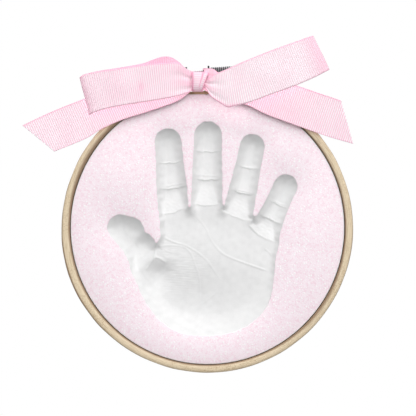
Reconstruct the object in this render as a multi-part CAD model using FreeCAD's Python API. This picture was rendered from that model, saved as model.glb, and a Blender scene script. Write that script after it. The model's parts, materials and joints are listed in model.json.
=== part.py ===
"""Baby handprint frame: an embroidery hoop that holds a clay handprint, with a ribbon bow tied on its screw.

Millimetres. The hoop stands upright as it hangs: X to the right, Z up, and -Y towards the viewer.
The origin is the hoop's centre on the plane of its back, which lies against the wall.
"""

import FreeCAD
import Part

import math
import os

from FreeCAD import Vector

# Hoop
hoop_diameter = 130.0
outer_wall = 3.7
hoop_depth = 10.0
outer_edge_round = 1.35
front_flats = 2
outer_back_bevel = 0.4
hoop_opening = 9.0
hoop_turn_deg = -3.65
hoop_clearance = 0.3
inner_wall = 3.2
inner_depth = 8.2
inner_edge_bevel = 0.3

# Backing board, clay tile and glitter coat
board_thickness = 1.5
board_clearance = 0.15
tile_clearance = 0.1
coat_thickness = 0.7
coat_flat_height = 59.4

# Screw lugs, cut and bent from one sheet
sheet = 0.8
lug_width = 6.4
lug_foot_length = 8.6
lug_setback = 0.1
screw_height = 3.9
lug_tip_over_screw = 3.2
lug_corner_round = 1.4
lug_bend = 0.5

# Rivets
rivet_diameter = 1.2
rivet_grip = 2.6
rivet_head_diameter = 2.2
rivet_head_height = 0.35
rivet_top_share = 0.6
rivet_clearance = 0.02
rivet_spacing = 3.2
rivet_line_from_ear = 5.6

# Clamp screw and square nut
shank_diameter = 2.6
thread_pitch = 0.45
head_diameter = 5.0
head_length = 10.0
head_bevel = 0.35
knurl_count = 24
knurl_depth = 0.3
knurl_land_share = 0.3
knurl_collar = 0.8
slot_width = 0.8
slot_depth = 1.3
screw_hole_clearance = 0.15
seat_gap = 0.1
nut_side = 5.0
nut_thickness = 2.2
nut_bore_clearance = 0.05
nut_bevel = 0.3
nut_travel = 2.7
tip_past_nut = 0.7
tip_bevel = 0.4

# Ribbon and bow
ribbon_width = 16.2
ribbon_thickness = 0.45
wrap_thickness = 0.9
wrap_width = 2.8
wrap_offset = 3.0
wrap_clearance = 0.3
bow_across = -3.7
bow_height = 64.8
knot_back = 10.5
loop_fold_radius = 1.3
tail_overlap = 4.0

# Handprint
print_length = 95.5
finger_axis_lift = 2.5
crease_rise = 0.45
pad_swell = 0.2
palm_depth = 2.7

# One overrun for every cut, and the plane that the print is measured from
overrun = 5.0

outer_radius = hoop_diameter / 2
outer_bore = outer_radius - outer_wall
inner_radius = outer_bore - hoop_clearance
inner_bore = inner_radius - inner_wall
coat_front = inner_depth + coat_thickness
screw_radius_out = outer_radius + screw_height
screw_depth = hoop_depth / 2
ear_inner = hoop_opening / 2 + lug_setback
ear_outer = ear_inner + sheet


def turned(shape):
    """The hoop and its hardware are built with the opening straight up, then turned in the picture plane."""
    shape.rotate(Vector(0, 0, 0), Vector(0, 1, 0), hoop_turn_deg)
    return shape


def wire_of(points):
    return Part.makePolygon(points + [points[0]])


def prism(points, direction):
    return Part.Face(wire_of(points)).extrude(direction)


def cylinder_y(radius, front, back, x=0.0, z=0.0):
    """A cylinder along Y, between two depths measured forwards from the back plane."""
    return Part.makeCylinder(radius, front - back, Vector(x, -back, z), Vector(0, -1, 0))


def cylinder_x(radius, start, length):
    """A cylinder on the screw's axis, from a place along it, before the hoop is turned."""
    return Part.makeCylinder(radius, length, Vector(start, -screw_depth, screw_radius_out), Vector(1, 0, 0))


def hoop_ring(radius, wall, depth, corner_cuts):
    """A closed hoop with its back on the wall plane: a rectangle spun about the hoop's axis.

    Each corner is sanded round in flats, given as the round's radius and the number of flats.
    """
    bore = radius - wall
    corners = [Vector(*corner, 0) for corner in ((radius, 0), (radius, -depth), (bore, -depth), (bore, 0))]
    outline = []
    for i, (round_radius, flats) in enumerate(corner_cuts):
        towards_last = (corners[i - 1] - corners[i]).normalize() * round_radius
        towards_next = (corners[(i + 1) % len(corners)] - corners[i]).normalize() * round_radius
        centre = corners[i] + towards_last + towards_next
        for step in range(flats + 1):
            angle = math.pi / 2 * step / max(flats, 1)
            outline.append(centre - towards_next * math.cos(angle) - towards_last * math.sin(angle))
    return Part.Face(wire_of(outline)).revolve(Vector(0, 0, 0), Vector(0, 1, 0), 360)


def make_outer_hoop():
    """The split hoop: its front corners are well rounded, and the opening is cut straight through."""
    back = (outer_back_bevel, 1)
    front = (outer_edge_round, front_flats)
    body = hoop_ring(outer_radius, outer_wall, hoop_depth, (back, front, front, back))
    opening = Part.makeBox(
        hoop_opening,
        hoop_depth + 2 * overrun,
        outer_wall + 2 * overrun,
        Vector(-hoop_opening / 2, -hoop_depth - overrun, outer_bore - overrun),
    )
    holes = [rivet_hole(side, offset) for side, offset in rivet_places()]
    return turned(body.cut([opening] + holes))


def make_inner_hoop():
    """The closed hoop that the tile fills, with its two outer corners bevelled so that it starts into the other."""
    outer_edge = (inner_edge_bevel, 1)
    inner_edge = (0, 0)
    return hoop_ring(inner_radius, inner_wall, inner_depth, (outer_edge, outer_edge, inner_edge, inner_edge))


def rivet_places():
    return [(side, offset) for side in (-1, 1) for offset in (-rivet_spacing / 2, rivet_spacing / 2)]


def rivet_angle(side):
    """Where the rivets' line crosses the hoop, as an angle from the middle of the opening."""
    return side * (math.asin(ear_outer / outer_radius) + rivet_line_from_ear / outer_radius)


def rivet_hole(side, offset):
    """The hole for one rivet, through the lug's foot and into the wood."""
    angle = rivet_angle(side)
    out = Vector(math.sin(angle), 0, math.cos(angle))
    bottom = outer_radius + sheet - rivet_grip - rivet_clearance
    start = out * bottom + Vector(0, -screw_depth + offset, 0)
    return Part.makeCylinder(rivet_diameter / 2 + rivet_clearance, rivet_grip + overrun, start, out)


def make_rivet(side, offset):
    """A pan-headed rivet: its stem is driven into the wood, and its head seats on the lug's foot."""
    foot_top = outer_radius + sheet
    stem_radius = rivet_diameter / 2
    head_radius = rivet_head_diameter / 2
    top_radius = head_radius * rivet_top_share
    profile = (
        (0, foot_top - rivet_grip),
        (stem_radius, foot_top - rivet_grip),
        (stem_radius, foot_top + rivet_clearance),
        (head_radius, foot_top + rivet_clearance),
        (head_radius, foot_top + rivet_clearance + rivet_head_height / 2),
        (top_radius, foot_top + rivet_clearance + rivet_head_height),
        (0, foot_top + rivet_clearance + rivet_head_height),
    )
    outline = Part.Face(wire_of([Vector(across, 0, out) for across, out in profile]))
    rivet = outline.revolve(Vector(0, 0, 0), Vector(0, 0, 1), 360)
    rivet.rotate(Vector(0, 0, 0), Vector(0, 1, 0), math.degrees(rivet_angle(side)))
    rivet.translate(Vector(0, -screw_depth + offset, 0))
    return turned(rivet)


def make_rivets():
    return Part.makeCompound([make_rivet(side, offset) for side, offset in rivet_places()])


def make_lug(side):
    """A foot that lies on the hoop's outer face and an ear that stands up at the opening, with the screw's hole."""
    start_angle = math.asin(ear_inner / outer_radius)
    foot_angle = start_angle + lug_foot_length / outer_radius
    section = wire_of(
        [
            Vector(0, -screw_depth - lug_width / 2, outer_radius),
            Vector(0, -screw_depth + lug_width / 2, outer_radius),
            Vector(0, -screw_depth + lug_width / 2, outer_radius + sheet),
            Vector(0, -screw_depth - lug_width / 2, outer_radius + sheet),
        ]
    )
    section.rotate(Vector(0, 0, 0), Vector(0, 1, 0), math.degrees(start_angle))
    foot = Part.Face(section).revolve(Vector(0, 0, 0), Vector(0, 1, 0), math.degrees(foot_angle - start_angle))
    foot_corners = [e for e in foot.Edges if is_foot_corner(e, foot_angle)]
    foot = foot.makeFillet(lug_corner_round, foot_corners)
    ear_foot = math.sqrt(outer_radius**2 - ear_outer**2) + sheet / 2
    ear_height = screw_radius_out + lug_tip_over_screw - ear_foot
    ear = Part.makeBox(sheet, lug_width, ear_height, Vector(ear_inner, -screw_depth - lug_width / 2, ear_foot))
    top_corners = [
        e
        for e in ear.Edges
        if isinstance(e.Curve, Part.Line) and e.BoundBox.XLength > sheet / 2 and e.BoundBox.ZMin > ear_foot + sheet
    ]
    ear = ear.makeFillet(lug_corner_round, top_corners)
    lug = foot.fuse(ear).removeSplitter()
    hole = cylinder_x(shank_diameter / 2 + screw_hole_clearance, ear_inner - overrun, sheet + 2 * overrun)
    lug = lug.cut(hole)
    bend = [e for e in lug.Edges if is_inside_bend(e)]
    if bend:
        lug = lug.makeFillet(lug_bend, bend)
    for offset in (-rivet_spacing / 2, rivet_spacing / 2):
        lug = lug.cut(rivet_hole(1, offset))
    if side < 0:
        lug = lug.mirror(Vector(0, 0, 0), Vector(1, 0, 0))
    return turned(lug)


def is_foot_corner(edge, foot_angle):
    """The two short radial edges at the far end of a lug's foot."""
    middle = edge.CenterOfMass
    at_end = abs(math.atan2(middle.x, middle.z) - foot_angle) < sheet / outer_radius
    return at_end and edge.BoundBox.YLength < sheet / 2


def is_inside_bend(edge):
    """The line where the ear's outer face meets the top of the foot."""
    box = edge.BoundBox
    return (
        abs(box.Center.x - ear_outer) < sheet / 4
        and box.YLength > lug_width / 2
        and box.XLength < sheet / 4
        and box.ZLength < sheet / 4
        and box.ZMax < screw_radius_out - shank_diameter / 2
    )


def make_screw():
    """Thumb screw: a plain shank for the thread, and a long knurled head with a slot in its end."""
    head_start = ear_outer + seat_gap
    shank_end = ear_outer + seat_gap + nut_thickness + nut_travel + tip_past_nut
    shank = cylinder_x(shank_diameter / 2, -shank_end, shank_end + head_start)
    tip = [e for e in shank.Edges if isinstance(e.Curve, Part.Circle) and e.Curve.Center.x < 0]
    shank = shank.makeChamfer(tip_bevel, tip)
    head = cylinder_x(head_diameter / 2, head_start, head_length)
    rims = [e for e in head.Edges if isinstance(e.Curve, Part.Circle)]
    head = head.makeChamfer(head_bevel, rims)
    head = head.common(knurled_bar(head_start).fuse(smooth_collar(head_start)))
    axis_height = screw_radius_out
    slot = Part.makeBox(
        slot_depth + overrun,
        head_diameter + 2 * overrun,
        slot_width,
        Vector(
            head_start + head_length - slot_depth,
            -screw_depth - head_diameter / 2 - overrun,
            axis_height - slot_width / 2,
        ),
    )
    return turned(shank.fuse(head.cut(slot)).removeSplitter())


def knurled_bar(head_start):
    """A toothed bar along the screw's axis: the straight knurl of the thumb head."""
    tooth = 2 * math.pi / knurl_count
    crest = head_diameter / 2
    root = crest - knurl_depth
    outline = []
    for i in range(knurl_count):
        for turn, radius in ((-knurl_land_share / 2, crest), (knurl_land_share / 2, crest), (1 / 2, root)):
            angle = (i + turn) * tooth
            outline.append(
                Vector(head_start, -screw_depth + radius * math.sin(angle), screw_radius_out + radius * math.cos(angle))
            )
    return prism(outline, Vector(head_length, 0, 0))


def smooth_collar(head_start):
    """The turned collar that seats on the lug, with no knurl."""
    return cylinder_x(head_diameter / 2, head_start, knurl_collar)


def make_nut():
    """Square nut whose flat lies over the lug's foot, so that it can't turn with the screw."""
    start = -ear_outer - seat_gap - nut_thickness
    nut = Part.makeBox(
        nut_thickness,
        nut_side,
        nut_side,
        Vector(start, -screw_depth - nut_side / 2, screw_radius_out - nut_side / 2),
    )
    corners = [e for e in nut.Edges if e.BoundBox.XLength > nut_thickness / 2]
    nut = nut.makeChamfer(nut_bevel, corners)
    bore = cylinder_x(shank_diameter / 2 + nut_bore_clearance, start - overrun, nut_thickness + 2 * overrun)
    return turned(nut.cut(bore))


# The print's fingers: where the middle of the tip and the middle of the base lie, as shares of the print's
# length from the hoop's centre, then the half width at the tip, the two creases and the base, as shares too,
# how far along the finger the creases are, and how much of the full crease this finger has
finger_shares = {
    "index": ((-0.184, 0.401), (-0.1576, 0.066), (0.0601, 0.0625, 0.0700, 0.0690), (0.29, 0.656), 1.0),
    "middle": ((0.002, 0.431), (-0.004, 0.101), (0.0628, 0.0650, 0.0690, 0.0725), (0.23, 0.63), 1.0),
    "ring": ((0.209, 0.377), (0.1445, 0.077), (0.0569, 0.0580, 0.0650, 0.0700), (0.325, 0.72), 1.0),
    "little": ((0.364, 0.192), (0.262, -0.032), (0.0545, 0.0540, 0.0610, 0.0760), (0.37, 0.695), 1.0),
    "thumb": ((-0.404, -0.001), (-0.272, -0.168), (0.0600, 0.0640, 0.0700, 0.0860), (0.40, 0.74), 0.3),
}
# The palm's floor is a shallow round dish: its middle and its radius at the face
dish_centre_shares = (0.0, -0.150)
dish_radius_share = 0.42
# The palm's edge from the little finger round the heel to the thumb, and back between the fingers' roots
heel_edge_shares = (
    (0.345, -0.062),
    (0.316, -0.161),
    (0.297, -0.312),
    (0.216, -0.437),
    (-0.007, -0.506),
    (-0.217, -0.437),
    (-0.301, -0.325),
    (-0.370, -0.140),
)
root_edge_shares = (
    (-0.231, -0.077),
    (-0.217, 0.007),
    (-0.222, 0.050),
    (-0.084, 0.098),
    (0.072, 0.107),
    (0.152, 0.063),
    (0.216, 0.030),
    (0.282, -0.021),
)
# The palm's soft pads press deeper than its floor and meet in the palm's lines. The round ones: middle, radius at
# the face and depth. The long ones: middle, half length, half width, depth and the turn from the horizontal
round_pad_shares = {
    "index_pad": ((-0.130, -0.010), 0.118, 0.0415),
    "middle_pad": ((-0.003, 0.010), 0.115, 0.0415),
    "ring_pad": ((0.128, -0.012), 0.116, 0.0410),
    "little_pad": ((0.228, -0.100), 0.118, 0.0410),
}
long_pad_shares = {
    "thumb_pad": ((-0.153, -0.242), 0.262, 0.166, 0.0445, -61),
    "heel_side_pad": ((0.142, -0.268), 0.235, 0.155, 0.0405, 84),
    "hollow": ((0.010, -0.150), 0.240, 0.150, 0.0345, -33),
}


def on_print(shares, lift=0.0):
    """A point on the print's face, from shares of its length, raised towards the viewer by lift."""
    return Vector(shares[0] * print_length, -coat_front - lift, shares[1] * print_length)


def finger_radius(half_width_share):
    """The radius of a round bar that leaves this half width at the face when its axis is lifted off it."""
    return math.hypot(half_width_share * print_length, finger_axis_lift)


def arc_pad(start, end, swell):
    """One finger pad of the revolve's outline: an arc between two creases that swells between them."""
    middle = (start + end) / 2 + Vector(0, swell, 0)
    return Part.Arc(start, middle, end).toShape()


def finger_press(shares):
    """The solid of one finger that is pressed into the clay: a revolve whose pads meet at the creases."""
    tip, base, half_widths, crease_shares, rise_share = shares
    rise = rise_share * crease_rise
    start = on_print(tip, finger_axis_lift)
    axis = on_print(base, finger_axis_lift) - start
    tip_radius, first_radius, second_radius, base_radius = [finger_radius(share) for share in half_widths]
    tip_top = Vector(0, tip_radius, 0)
    first = Vector(crease_shares[0] * axis.Length, first_radius - rise, 0)
    second = Vector(crease_shares[1] * axis.Length, second_radius - rise, 0)
    last = Vector(axis.Length, base_radius - rise, 0)
    tip_end = Vector(-tip_radius, 0, 0)
    tip_middle = Vector(-tip_radius * math.sqrt(1 / 2), tip_radius * math.sqrt(1 / 2), 0)
    root_end = Vector(axis.Length + tip_radius / 2, 0, 0)
    root_middle = Vector(axis.Length + tip_radius / 3, tip_radius * 2 / 3, 0)
    outline = Part.Wire(
        [
            Part.Arc(tip_end, tip_middle, tip_top).toShape(),
            arc_pad(tip_top, first, pad_swell),
            arc_pad(first, second, rise + pad_swell),
            arc_pad(second, last, rise + pad_swell),
            Part.Arc(last, root_middle, root_end).toShape(),
            Part.makeLine(root_end, tip_end),
        ]
    )
    face = Part.Face(outline)
    face.rotate(Vector(0, 0, 0), Vector(1, 0, 0), 180)
    solid = face.revolve(Vector(0, 0, 0), Vector(1, 0, 0), 360)
    solid.Placement = FreeCAD.Placement(start, FreeCAD.Rotation(Vector(1, 0, 0), axis))
    return solid


def cap_radius(half_width, depth):
    """The radius of the ball whose cap is this wide and this deep."""
    return (half_width**2 + depth**2) / (2 * depth)


def ball_press(centre, radius_share, depth):
    """A round hollow: the cap of a ball that stands in front of the face."""
    radius = cap_radius(radius_share * print_length, depth)
    return Part.makeSphere(radius, on_print(centre, radius - depth))


def long_press(centre, length_share, width_share, depth_share, turn_deg):
    """A long hollow: the outside of a ring that is bent to the pad's length and round across its width."""
    depth = depth_share * print_length
    length_radius = cap_radius(length_share * print_length, depth)
    width_radius = cap_radius(width_share * print_length, depth)
    turn = FreeCAD.Rotation(Vector(0, 1, 0), -turn_deg)
    ring_axis = turn.multVec(Vector(0, 0, 1))
    return Part.makeTorus(length_radius - width_radius, width_radius, on_print(centre, length_radius - depth), ring_axis)


def palm_presses():
    presses = [ball_press(dish_centre_shares, dish_radius_share, palm_depth)]
    for centre, radius_share, depth_share in round_pad_shares.values():
        presses.append(ball_press(centre, radius_share, depth_share * print_length))
    return presses + [long_press(*shares) for shares in long_pad_shares.values()]


def palm_limit():
    """The palm's outline, as a block that reaches through the face."""
    heel = [on_print(shares, overrun) for shares in heel_edge_shares]
    roots = [on_print(shares, overrun) for shares in root_edge_shares]
    corners = [heel[-1]] + roots + [heel[0]]
    sides = [Part.makeLine(p, q) for p, q in zip(corners, corners[1:])]
    return Part.Face(Part.Wire([spline_edge(heel)] + sides)).extrude(Vector(0, 2 * overrun, 0))


def spline_edge(points):
    curve = Part.BSplineCurve()
    curve.interpolate(points)
    return curve.toShape()


def hand_press():
    """The whole hand, ready to cut: the palm's floor and pads inside its outline, and the five fingers."""
    limit = palm_limit()
    palm = [press.common(limit) for press in palm_presses()]
    fingers = [finger_press(shares) for shares in finger_shares.values()]
    return palm[0].fuse(palm[1:] + fingers)


def make_board():
    return cylinder_y(inner_bore - board_clearance, board_thickness, 0)


def make_tile(press):
    return cylinder_y(inner_bore - tile_clearance, inner_depth, board_thickness).cut(press)


def make_coat(press):
    """The thin pink coat: it laps over the inner hoop, stops in a straight edge under the bow, and frames the print."""
    coat = cylinder_y(inner_radius, coat_front, inner_depth)
    trim = Part.makeBox(
        2 * inner_radius,
        coat_thickness + 2 * overrun,
        inner_radius,
        Vector(-inner_radius, -coat_front - overrun, coat_flat_height),
    )
    return coat.cut(trim).cut(press)


# The knot's two rolls of gathered ribbon: how far across from the bow's middle, width, height, depth in front of
# the knot's back, and how far the roll leans
knot_rolls = {
    "band": (-1.1, 4.4, 8.7, 5.6, 0.0),
    "fold": (1.75, 2.7, 8.5, 4.9, 14.0),
}
# A roll's round corners as a share of its half depth, and its bevelled ends as a share of its width
knot_corner_share = 0.7
knot_end_share = 0.22

# The bow's strips in front view: the reach from the knot's middle to the fold or the tip, the way it points, the
# strip's distance in front of the wall along its path, and its two edges as shares of the reach, across and up
bow_strips = {
    "ribbon_loop_left": {
        "reach": 51.1,
        "turn_deg": 196.2,
        "depths": (13.9, 16.4, 15.1, 12.5, 12.3, 12.6),
        "over_shares": (
            (0.0, 0.060),
            (-0.063, 0.078),
            (-0.190, 0.165),
            (-0.481, 0.144),
            (-0.716, 0.109),
            (-0.947, 0.079),
            (-1.041, 0.040),
            (-1.100, 0.015),
        ),
        "under_shares": (
            (0.0, -0.070),
            (-0.063, -0.084),
            (-0.119, -0.104),
            (-0.248, -0.141),
            (-0.599, -0.194),
            (-0.716, -0.217),
            (-0.953, -0.293),
            (-1.057, -0.329),
        ),
    },
    "ribbon_loop_right": {
        "reach": 54.0,
        "turn_deg": 26.1,
        "depths": (13.7, 16.6, 15.2, 12.6, 12.3, 12.6),
        "over_shares": (
            (0.0, 0.020),
            (0.046, 0.010),
            (0.100, 0.040),
            (0.341, 0.153),
            (0.641, 0.276),
            (0.931, 0.381),
            (1.037, 0.419),
        ),
        "under_shares": (
            (0.0, -0.052),
            (0.046, -0.060),
            (0.095, -0.122),
            (0.220, -0.209),
            (0.361, -0.182),
            (0.481, -0.155),
            (0.670, -0.074),
            (0.811, -0.034),
            (1.070, 0.098),
            (1.148, 0.133),
        ),
    },
    "ribbon_tail_left": {
        "reach": 80.0,
        "turn_deg": 199.7,
        "depths": (11.3, 11.2, 11.2, 11.6, 12.2),
        "over_shares": (
            (0.0, 0.019),
            (-0.040, 0.028),
            (-0.188, 0.045),
            (-0.362, 0.016),
            (-0.657, -0.096),
            (-0.985, -0.245),
        ),
        "under_shares": (
            (0.0, -0.040),
            (-0.040, -0.050),
            (-0.076, -0.084),
            (-0.159, -0.125),
            (-0.307, -0.174),
            (-0.415, -0.207),
            (-0.539, -0.262),
            (-0.635, -0.312),
            (-0.806, -0.388),
        ),
    },
    "ribbon_tail_right": {
        "reach": 70.0,
        "turn_deg": -15.7,
        "depths": (11.3, 11.2, 11.2, 11.4, 12.0),
        "over_shares": (
            (0.0, 0.017),
            (0.036, 0.015),
            (0.171, 0.058),
            (0.357, 0.058),
            (0.629, -0.025),
            (0.899, -0.118),
        ),
        "under_shares": (
            (0.0, -0.040),
            (0.036, -0.046),
            (0.171, -0.110),
            (0.310, -0.150),
            (0.417, -0.201),
            (0.533, -0.242),
            (0.647, -0.288),
            (0.756, -0.332),
            (0.980, -0.395),
        ),
    },
}


def strip_limit(strip):
    """The strip's outline in front view, as a block that reaches through the whole bow."""
    reach = strip["reach"]
    front = -knot_back - 2 * overrun
    edges = []
    for name in ("over_shares", "under_shares"):
        edges.append([Vector(bow_across + a * reach, front, bow_height + u * reach) for a, u in strip[name]])
    over, under = edges
    outline = Part.Wire(
        [
            spline_edge(over),
            Part.makeLine(over[-1], under[-1]),
            spline_edge(under[::-1]),
            Part.makeLine(under[0], over[0]),
        ]
    )
    return Part.Face(outline).extrude(Vector(0, 3 * overrun, 0))


def loop_path(strip):
    """A loop's path seen from above, in its own frame: out along the front, round the fold, back behind."""
    near_front, mid_front, far_front, far_back, mid_back, near_back = strip["depths"]
    end = strip["reach"]
    turn = end - loop_fold_radius
    front = Part.Arc(Vector(0, -near_front, 0), Vector(end / 2, -mid_front, 0), Vector(turn, -far_front, 0))
    fold_depth = (far_front + far_back) / 2
    fold = Part.Arc(Vector(turn, -far_front, 0), Vector(end, -fold_depth, 0), Vector(turn, -far_back, 0))
    back = Part.Arc(Vector(turn, -far_back, 0), Vector(end / 2, -mid_back, 0), Vector(0, -near_back, 0))
    return [front.toShape(), fold.toShape(), back.toShape()]


def tail_path(strip):
    """A tail's path seen from above: nearly flat over the hoop, then lifting a little at its end."""
    length = strip["reach"] + tail_overlap
    depths = strip["depths"]
    return [spline_edge([Vector(length * i / (len(depths) - 1), -depth, 0) for i, depth in enumerate(depths)])]


def make_strip(name, knot):
    """A band of ribbon: its path seen from above, cut to its outline from the front, and ended at the knot."""
    strip = bow_strips[name]
    path = Part.Wire(loop_path(strip) if name.startswith("ribbon_loop") else tail_path(strip))
    start = path.Edges[0].valueAt(path.Edges[0].FirstParameter)
    half = ribbon_thickness / 2
    corners = ((-half, -ribbon_width), (half, -ribbon_width), (half, ribbon_width), (-half, ribbon_width))
    section = wire_of([start + Vector(0, across, up) for across, up in corners])
    band = path.makePipeShell([section], True, False)
    band.rotate(Vector(0, 0, 0), Vector(0, 1, 0), -strip["turn_deg"])
    band.translate(Vector(bow_across, 0, bow_height))
    return band.common(strip_limit(strip)).cut(knot)


def knot_roll(across, width, height, depth, lean_deg):
    """A soft roll of gathered ribbon with well rounded corners and bevelled ends."""
    roll = Part.makeBox(width, depth, height, Vector(-width / 2, -depth / 2, -height / 2))
    corners = [e for e in roll.Edges if e.BoundBox.XLength > width / 2]
    roll = roll.makeFillet(knot_corner_share * depth / 2, corners)
    ends = [e for e in roll.Edges if e.BoundBox.XLength < width / 2]
    roll = roll.makeChamfer(knot_end_share * width, ends)
    roll.rotate(Vector(0, 0, 0), Vector(0, 1, 0), lean_deg)
    roll.translate(Vector(bow_across + across, -knot_back - depth / 2, bow_height))
    return roll


def make_knot():
    band, fold = [knot_roll(*sizes) for sizes in knot_rolls.values()]
    return band.fuse(fold)


def wrap_block(radius):
    """A round-backed block about the screw's axis that reaches forwards into the knot."""
    start = wrap_offset - wrap_width / 2
    reach = knot_back + wrap_thickness - screw_depth
    front = Part.makeBox(
        wrap_width, reach, 2 * radius, Vector(start, -screw_depth - reach, screw_radius_out - radius)
    )
    return cylinder_x(radius, start, wrap_width).fuse(front).removeSplitter()


def make_wrap(knot):
    """The gathered turn of ribbon that goes from the knot over the screw, down behind it and back under it."""
    inner = shank_diameter / 2 + wrap_clearance
    return turned(wrap_block(inner + wrap_thickness).cut(wrap_block(inner))).cut(knot)


def build():
    """Every piece of the frame by its name."""
    press = hand_press()
    knot = make_knot()
    pieces = {
        "outer_hoop": make_outer_hoop(),
        "inner_hoop": make_inner_hoop(),
        "backing_board": make_board(),
        "clay_tile": make_tile(press),
        "glitter_coat": make_coat(press),
        "lug_left": make_lug(-1),
        "lug_right": make_lug(1),
        "lug_rivets": make_rivets(),
        "clamp_screw": make_screw(),
        "clamp_nut": make_nut(),
        "ribbon_knot": knot,
        "ribbon_wrap": make_wrap(knot),
    }
    for name in bow_strips:
        pieces[name] = make_strip(name, knot)
    return pieces


def main():
    os.makedirs("parts", exist_ok=True)
    for name, shape in build().items():
        shape.exportStep(f"parts/{name}.step")
        box = shape.BoundBox
        print(
            f"{name}: {len(shape.Solids)} solids, {len(shape.Faces)} faces, valid {shape.isValid()}, "
            f"volume {shape.Volume:.1f} mm3, size {box.XLength:.1f} x {box.YLength:.1f} x {box.ZLength:.1f}"
        )
    hoop_turn = FreeCAD.Rotation(Vector(0, 1, 0), hoop_turn_deg)
    print("screw axis", hoop_turn.multVec(Vector(1, 0, 0)))
    print("screw passes through", hoop_turn.multVec(Vector(0, -screw_depth, screw_radius_out)))
    print("nut travel", nut_travel, "in turns", nut_travel / thread_pitch)


main()
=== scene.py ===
import json
import math

import bmesh
import bpy
import numpy as np
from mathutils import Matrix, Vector
from mathutils.geometry import delaunay_2d_cdt


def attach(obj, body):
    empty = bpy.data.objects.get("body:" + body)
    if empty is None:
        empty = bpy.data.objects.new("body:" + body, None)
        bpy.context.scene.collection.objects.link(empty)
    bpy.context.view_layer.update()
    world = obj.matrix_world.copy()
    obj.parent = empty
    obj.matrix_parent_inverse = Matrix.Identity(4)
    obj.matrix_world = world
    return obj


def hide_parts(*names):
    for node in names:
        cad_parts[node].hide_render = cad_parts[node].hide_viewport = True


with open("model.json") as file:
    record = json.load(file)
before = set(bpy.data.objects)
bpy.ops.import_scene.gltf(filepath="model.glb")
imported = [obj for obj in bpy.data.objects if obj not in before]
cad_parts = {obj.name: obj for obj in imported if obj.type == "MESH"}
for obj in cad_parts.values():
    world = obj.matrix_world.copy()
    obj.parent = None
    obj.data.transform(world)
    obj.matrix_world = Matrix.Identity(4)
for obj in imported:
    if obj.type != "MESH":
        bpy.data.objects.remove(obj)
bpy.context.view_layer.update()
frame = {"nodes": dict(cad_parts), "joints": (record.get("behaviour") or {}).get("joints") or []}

# Lengths below are millimetres. Outlines are written in steps of the front view, across and down from its
# upper left corner
mm = 0.001
view = {
    "step": 0.4452,  # millimetres in one step
    "middleX": 207.5,
    "middleZ": 227.5,
    "eye": 910.0,  # how far in front of the wall the camera is
    "front": 10.0,  # and where the steps have that length
    "aimX": 0.22,
    "aimZ": 8.68,
    "imageSensor": 36.0,
}


def frontX(across):
    return (np.asarray(across, float) - view["middleX"]) * view["step"]


def frontZ(down):
    return (view["middleZ"] - np.asarray(down, float)) * view["step"]


def frontPlace(point):
    return np.array([frontX(point[0]), frontZ(point[1])])


def smoothStep(low, high, value):
    t = np.clip((value - low) / (high - low), 0, 1)
    return t * t * (3 - 2 * t)


def fade(value, width):
    # 1 well above zero, 0 well below it
    return 1 / (1 + np.exp(-np.clip(value / width, -40, 40)))


def bell(u, v=0):
    # 1 at zero, and falling away on all sides
    return np.exp(-(u ** 2 + v ** 2))


def ripple(x, z, size, seed):
    # smooth unevenness between about -1 and 1, with bumps of the given size
    chance = np.random.default_rng(seed)
    total = np.zeros(np.broadcast(x, z).shape)
    for _ in range(7):
        turn = chance.uniform(0, 2 * math.pi)
        wave = 2 * math.pi / (size * chance.uniform(1.4, 3.2))
        shift = chance.uniform(0, 2 * math.pi)
        total = total + np.sin((x * math.cos(turn) + z * math.sin(turn)) * wave + shift)
    return total / 3.2


def pathLengths(path):
    # how far along a line each of its points lies
    return np.concatenate([[0], np.cumsum(np.linalg.norm(np.diff(path, axis=0), axis=1))])


def smoothLine(points, count, closed=False):
    # an even run of points along a smooth line through the given ones
    pts = np.array(points, float)
    if closed:
        pts = np.vstack([pts[-1:], pts, pts[:2]])
    else:
        pts = np.vstack([2 * pts[0] - pts[1], pts, 2 * pts[-1] - pts[-2]])
    t = np.linspace(0, 1, 24, endpoint=False)[:, None]
    runs = []
    for a, b, c, d in zip(pts, pts[1:], pts[2:], pts[3:]):
        square = (2 * a - 5 * b + 4 * c - d) * t ** 2
        cube = (3 * b - a - 3 * c + d) * t ** 3
        runs.append(0.5 * (2 * b + (c - a) * t + square + cube))
    dense = np.vstack(runs + [pts[-2][None]])
    gone = pathLengths(dense)
    at = np.linspace(0, gone[-1], count + 1)[:-1] if closed else np.linspace(0, gone[-1], count)
    return np.column_stack([np.interp(at, gone, dense[:, i]) for i in range(dense.shape[1])])


def addPiece(name, points, faces, materials, faceMaterials=None):
    # a new mesh from points in millimetres
    mesh = bpy.data.meshes.new(name)
    mesh.from_pydata((np.asarray(points, float) * mm).tolist(), [], faces)
    mesh.shade_smooth()
    for material in materials:
        mesh.materials.append(material)
    if faceMaterials is not None:
        mesh.polygons.foreach_set("material_index", np.asarray(faceMaterials, np.int32))
    mesh.update()
    piece = bpy.data.objects.new(name, mesh)
    bpy.context.scene.collection.objects.link(piece)
    return piece


def addValues(piece, name, values):
    layer = piece.data.attributes.new(name, "FLOAT", "POINT")
    layer.data.foreach_set("value", np.asarray(values, np.float32).ravel())


def gridFaces(rows, columns, closeColumns=False):
    index = np.arange(rows * columns).reshape(rows, columns)
    if closeColumns:
        index = np.hstack([index, index[:, :1]])
    corners = [index[:-1, :-1], index[1:, :-1], index[1:, 1:], index[:-1, 1:]]
    return np.stack(corners, -1).reshape(-1, 4).tolist()


def turnOutwards(piece):
    work = bmesh.new()
    work.from_mesh(piece.data)
    bmesh.ops.recalc_face_normals(work, faces=work.faces)
    work.to_mesh(piece.data)
    work.free()


# Materials


def shade(red, green, blue):
    # a colour as a paint program gives it, 0 to 255, made linear
    parts = np.array([red, green, blue]) / 255
    linear = np.where(parts <= 0.04045, parts / 12.92, ((parts + 0.055) / 1.055) ** 2.4)
    return (*linear.tolist(), 1.0)


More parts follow.
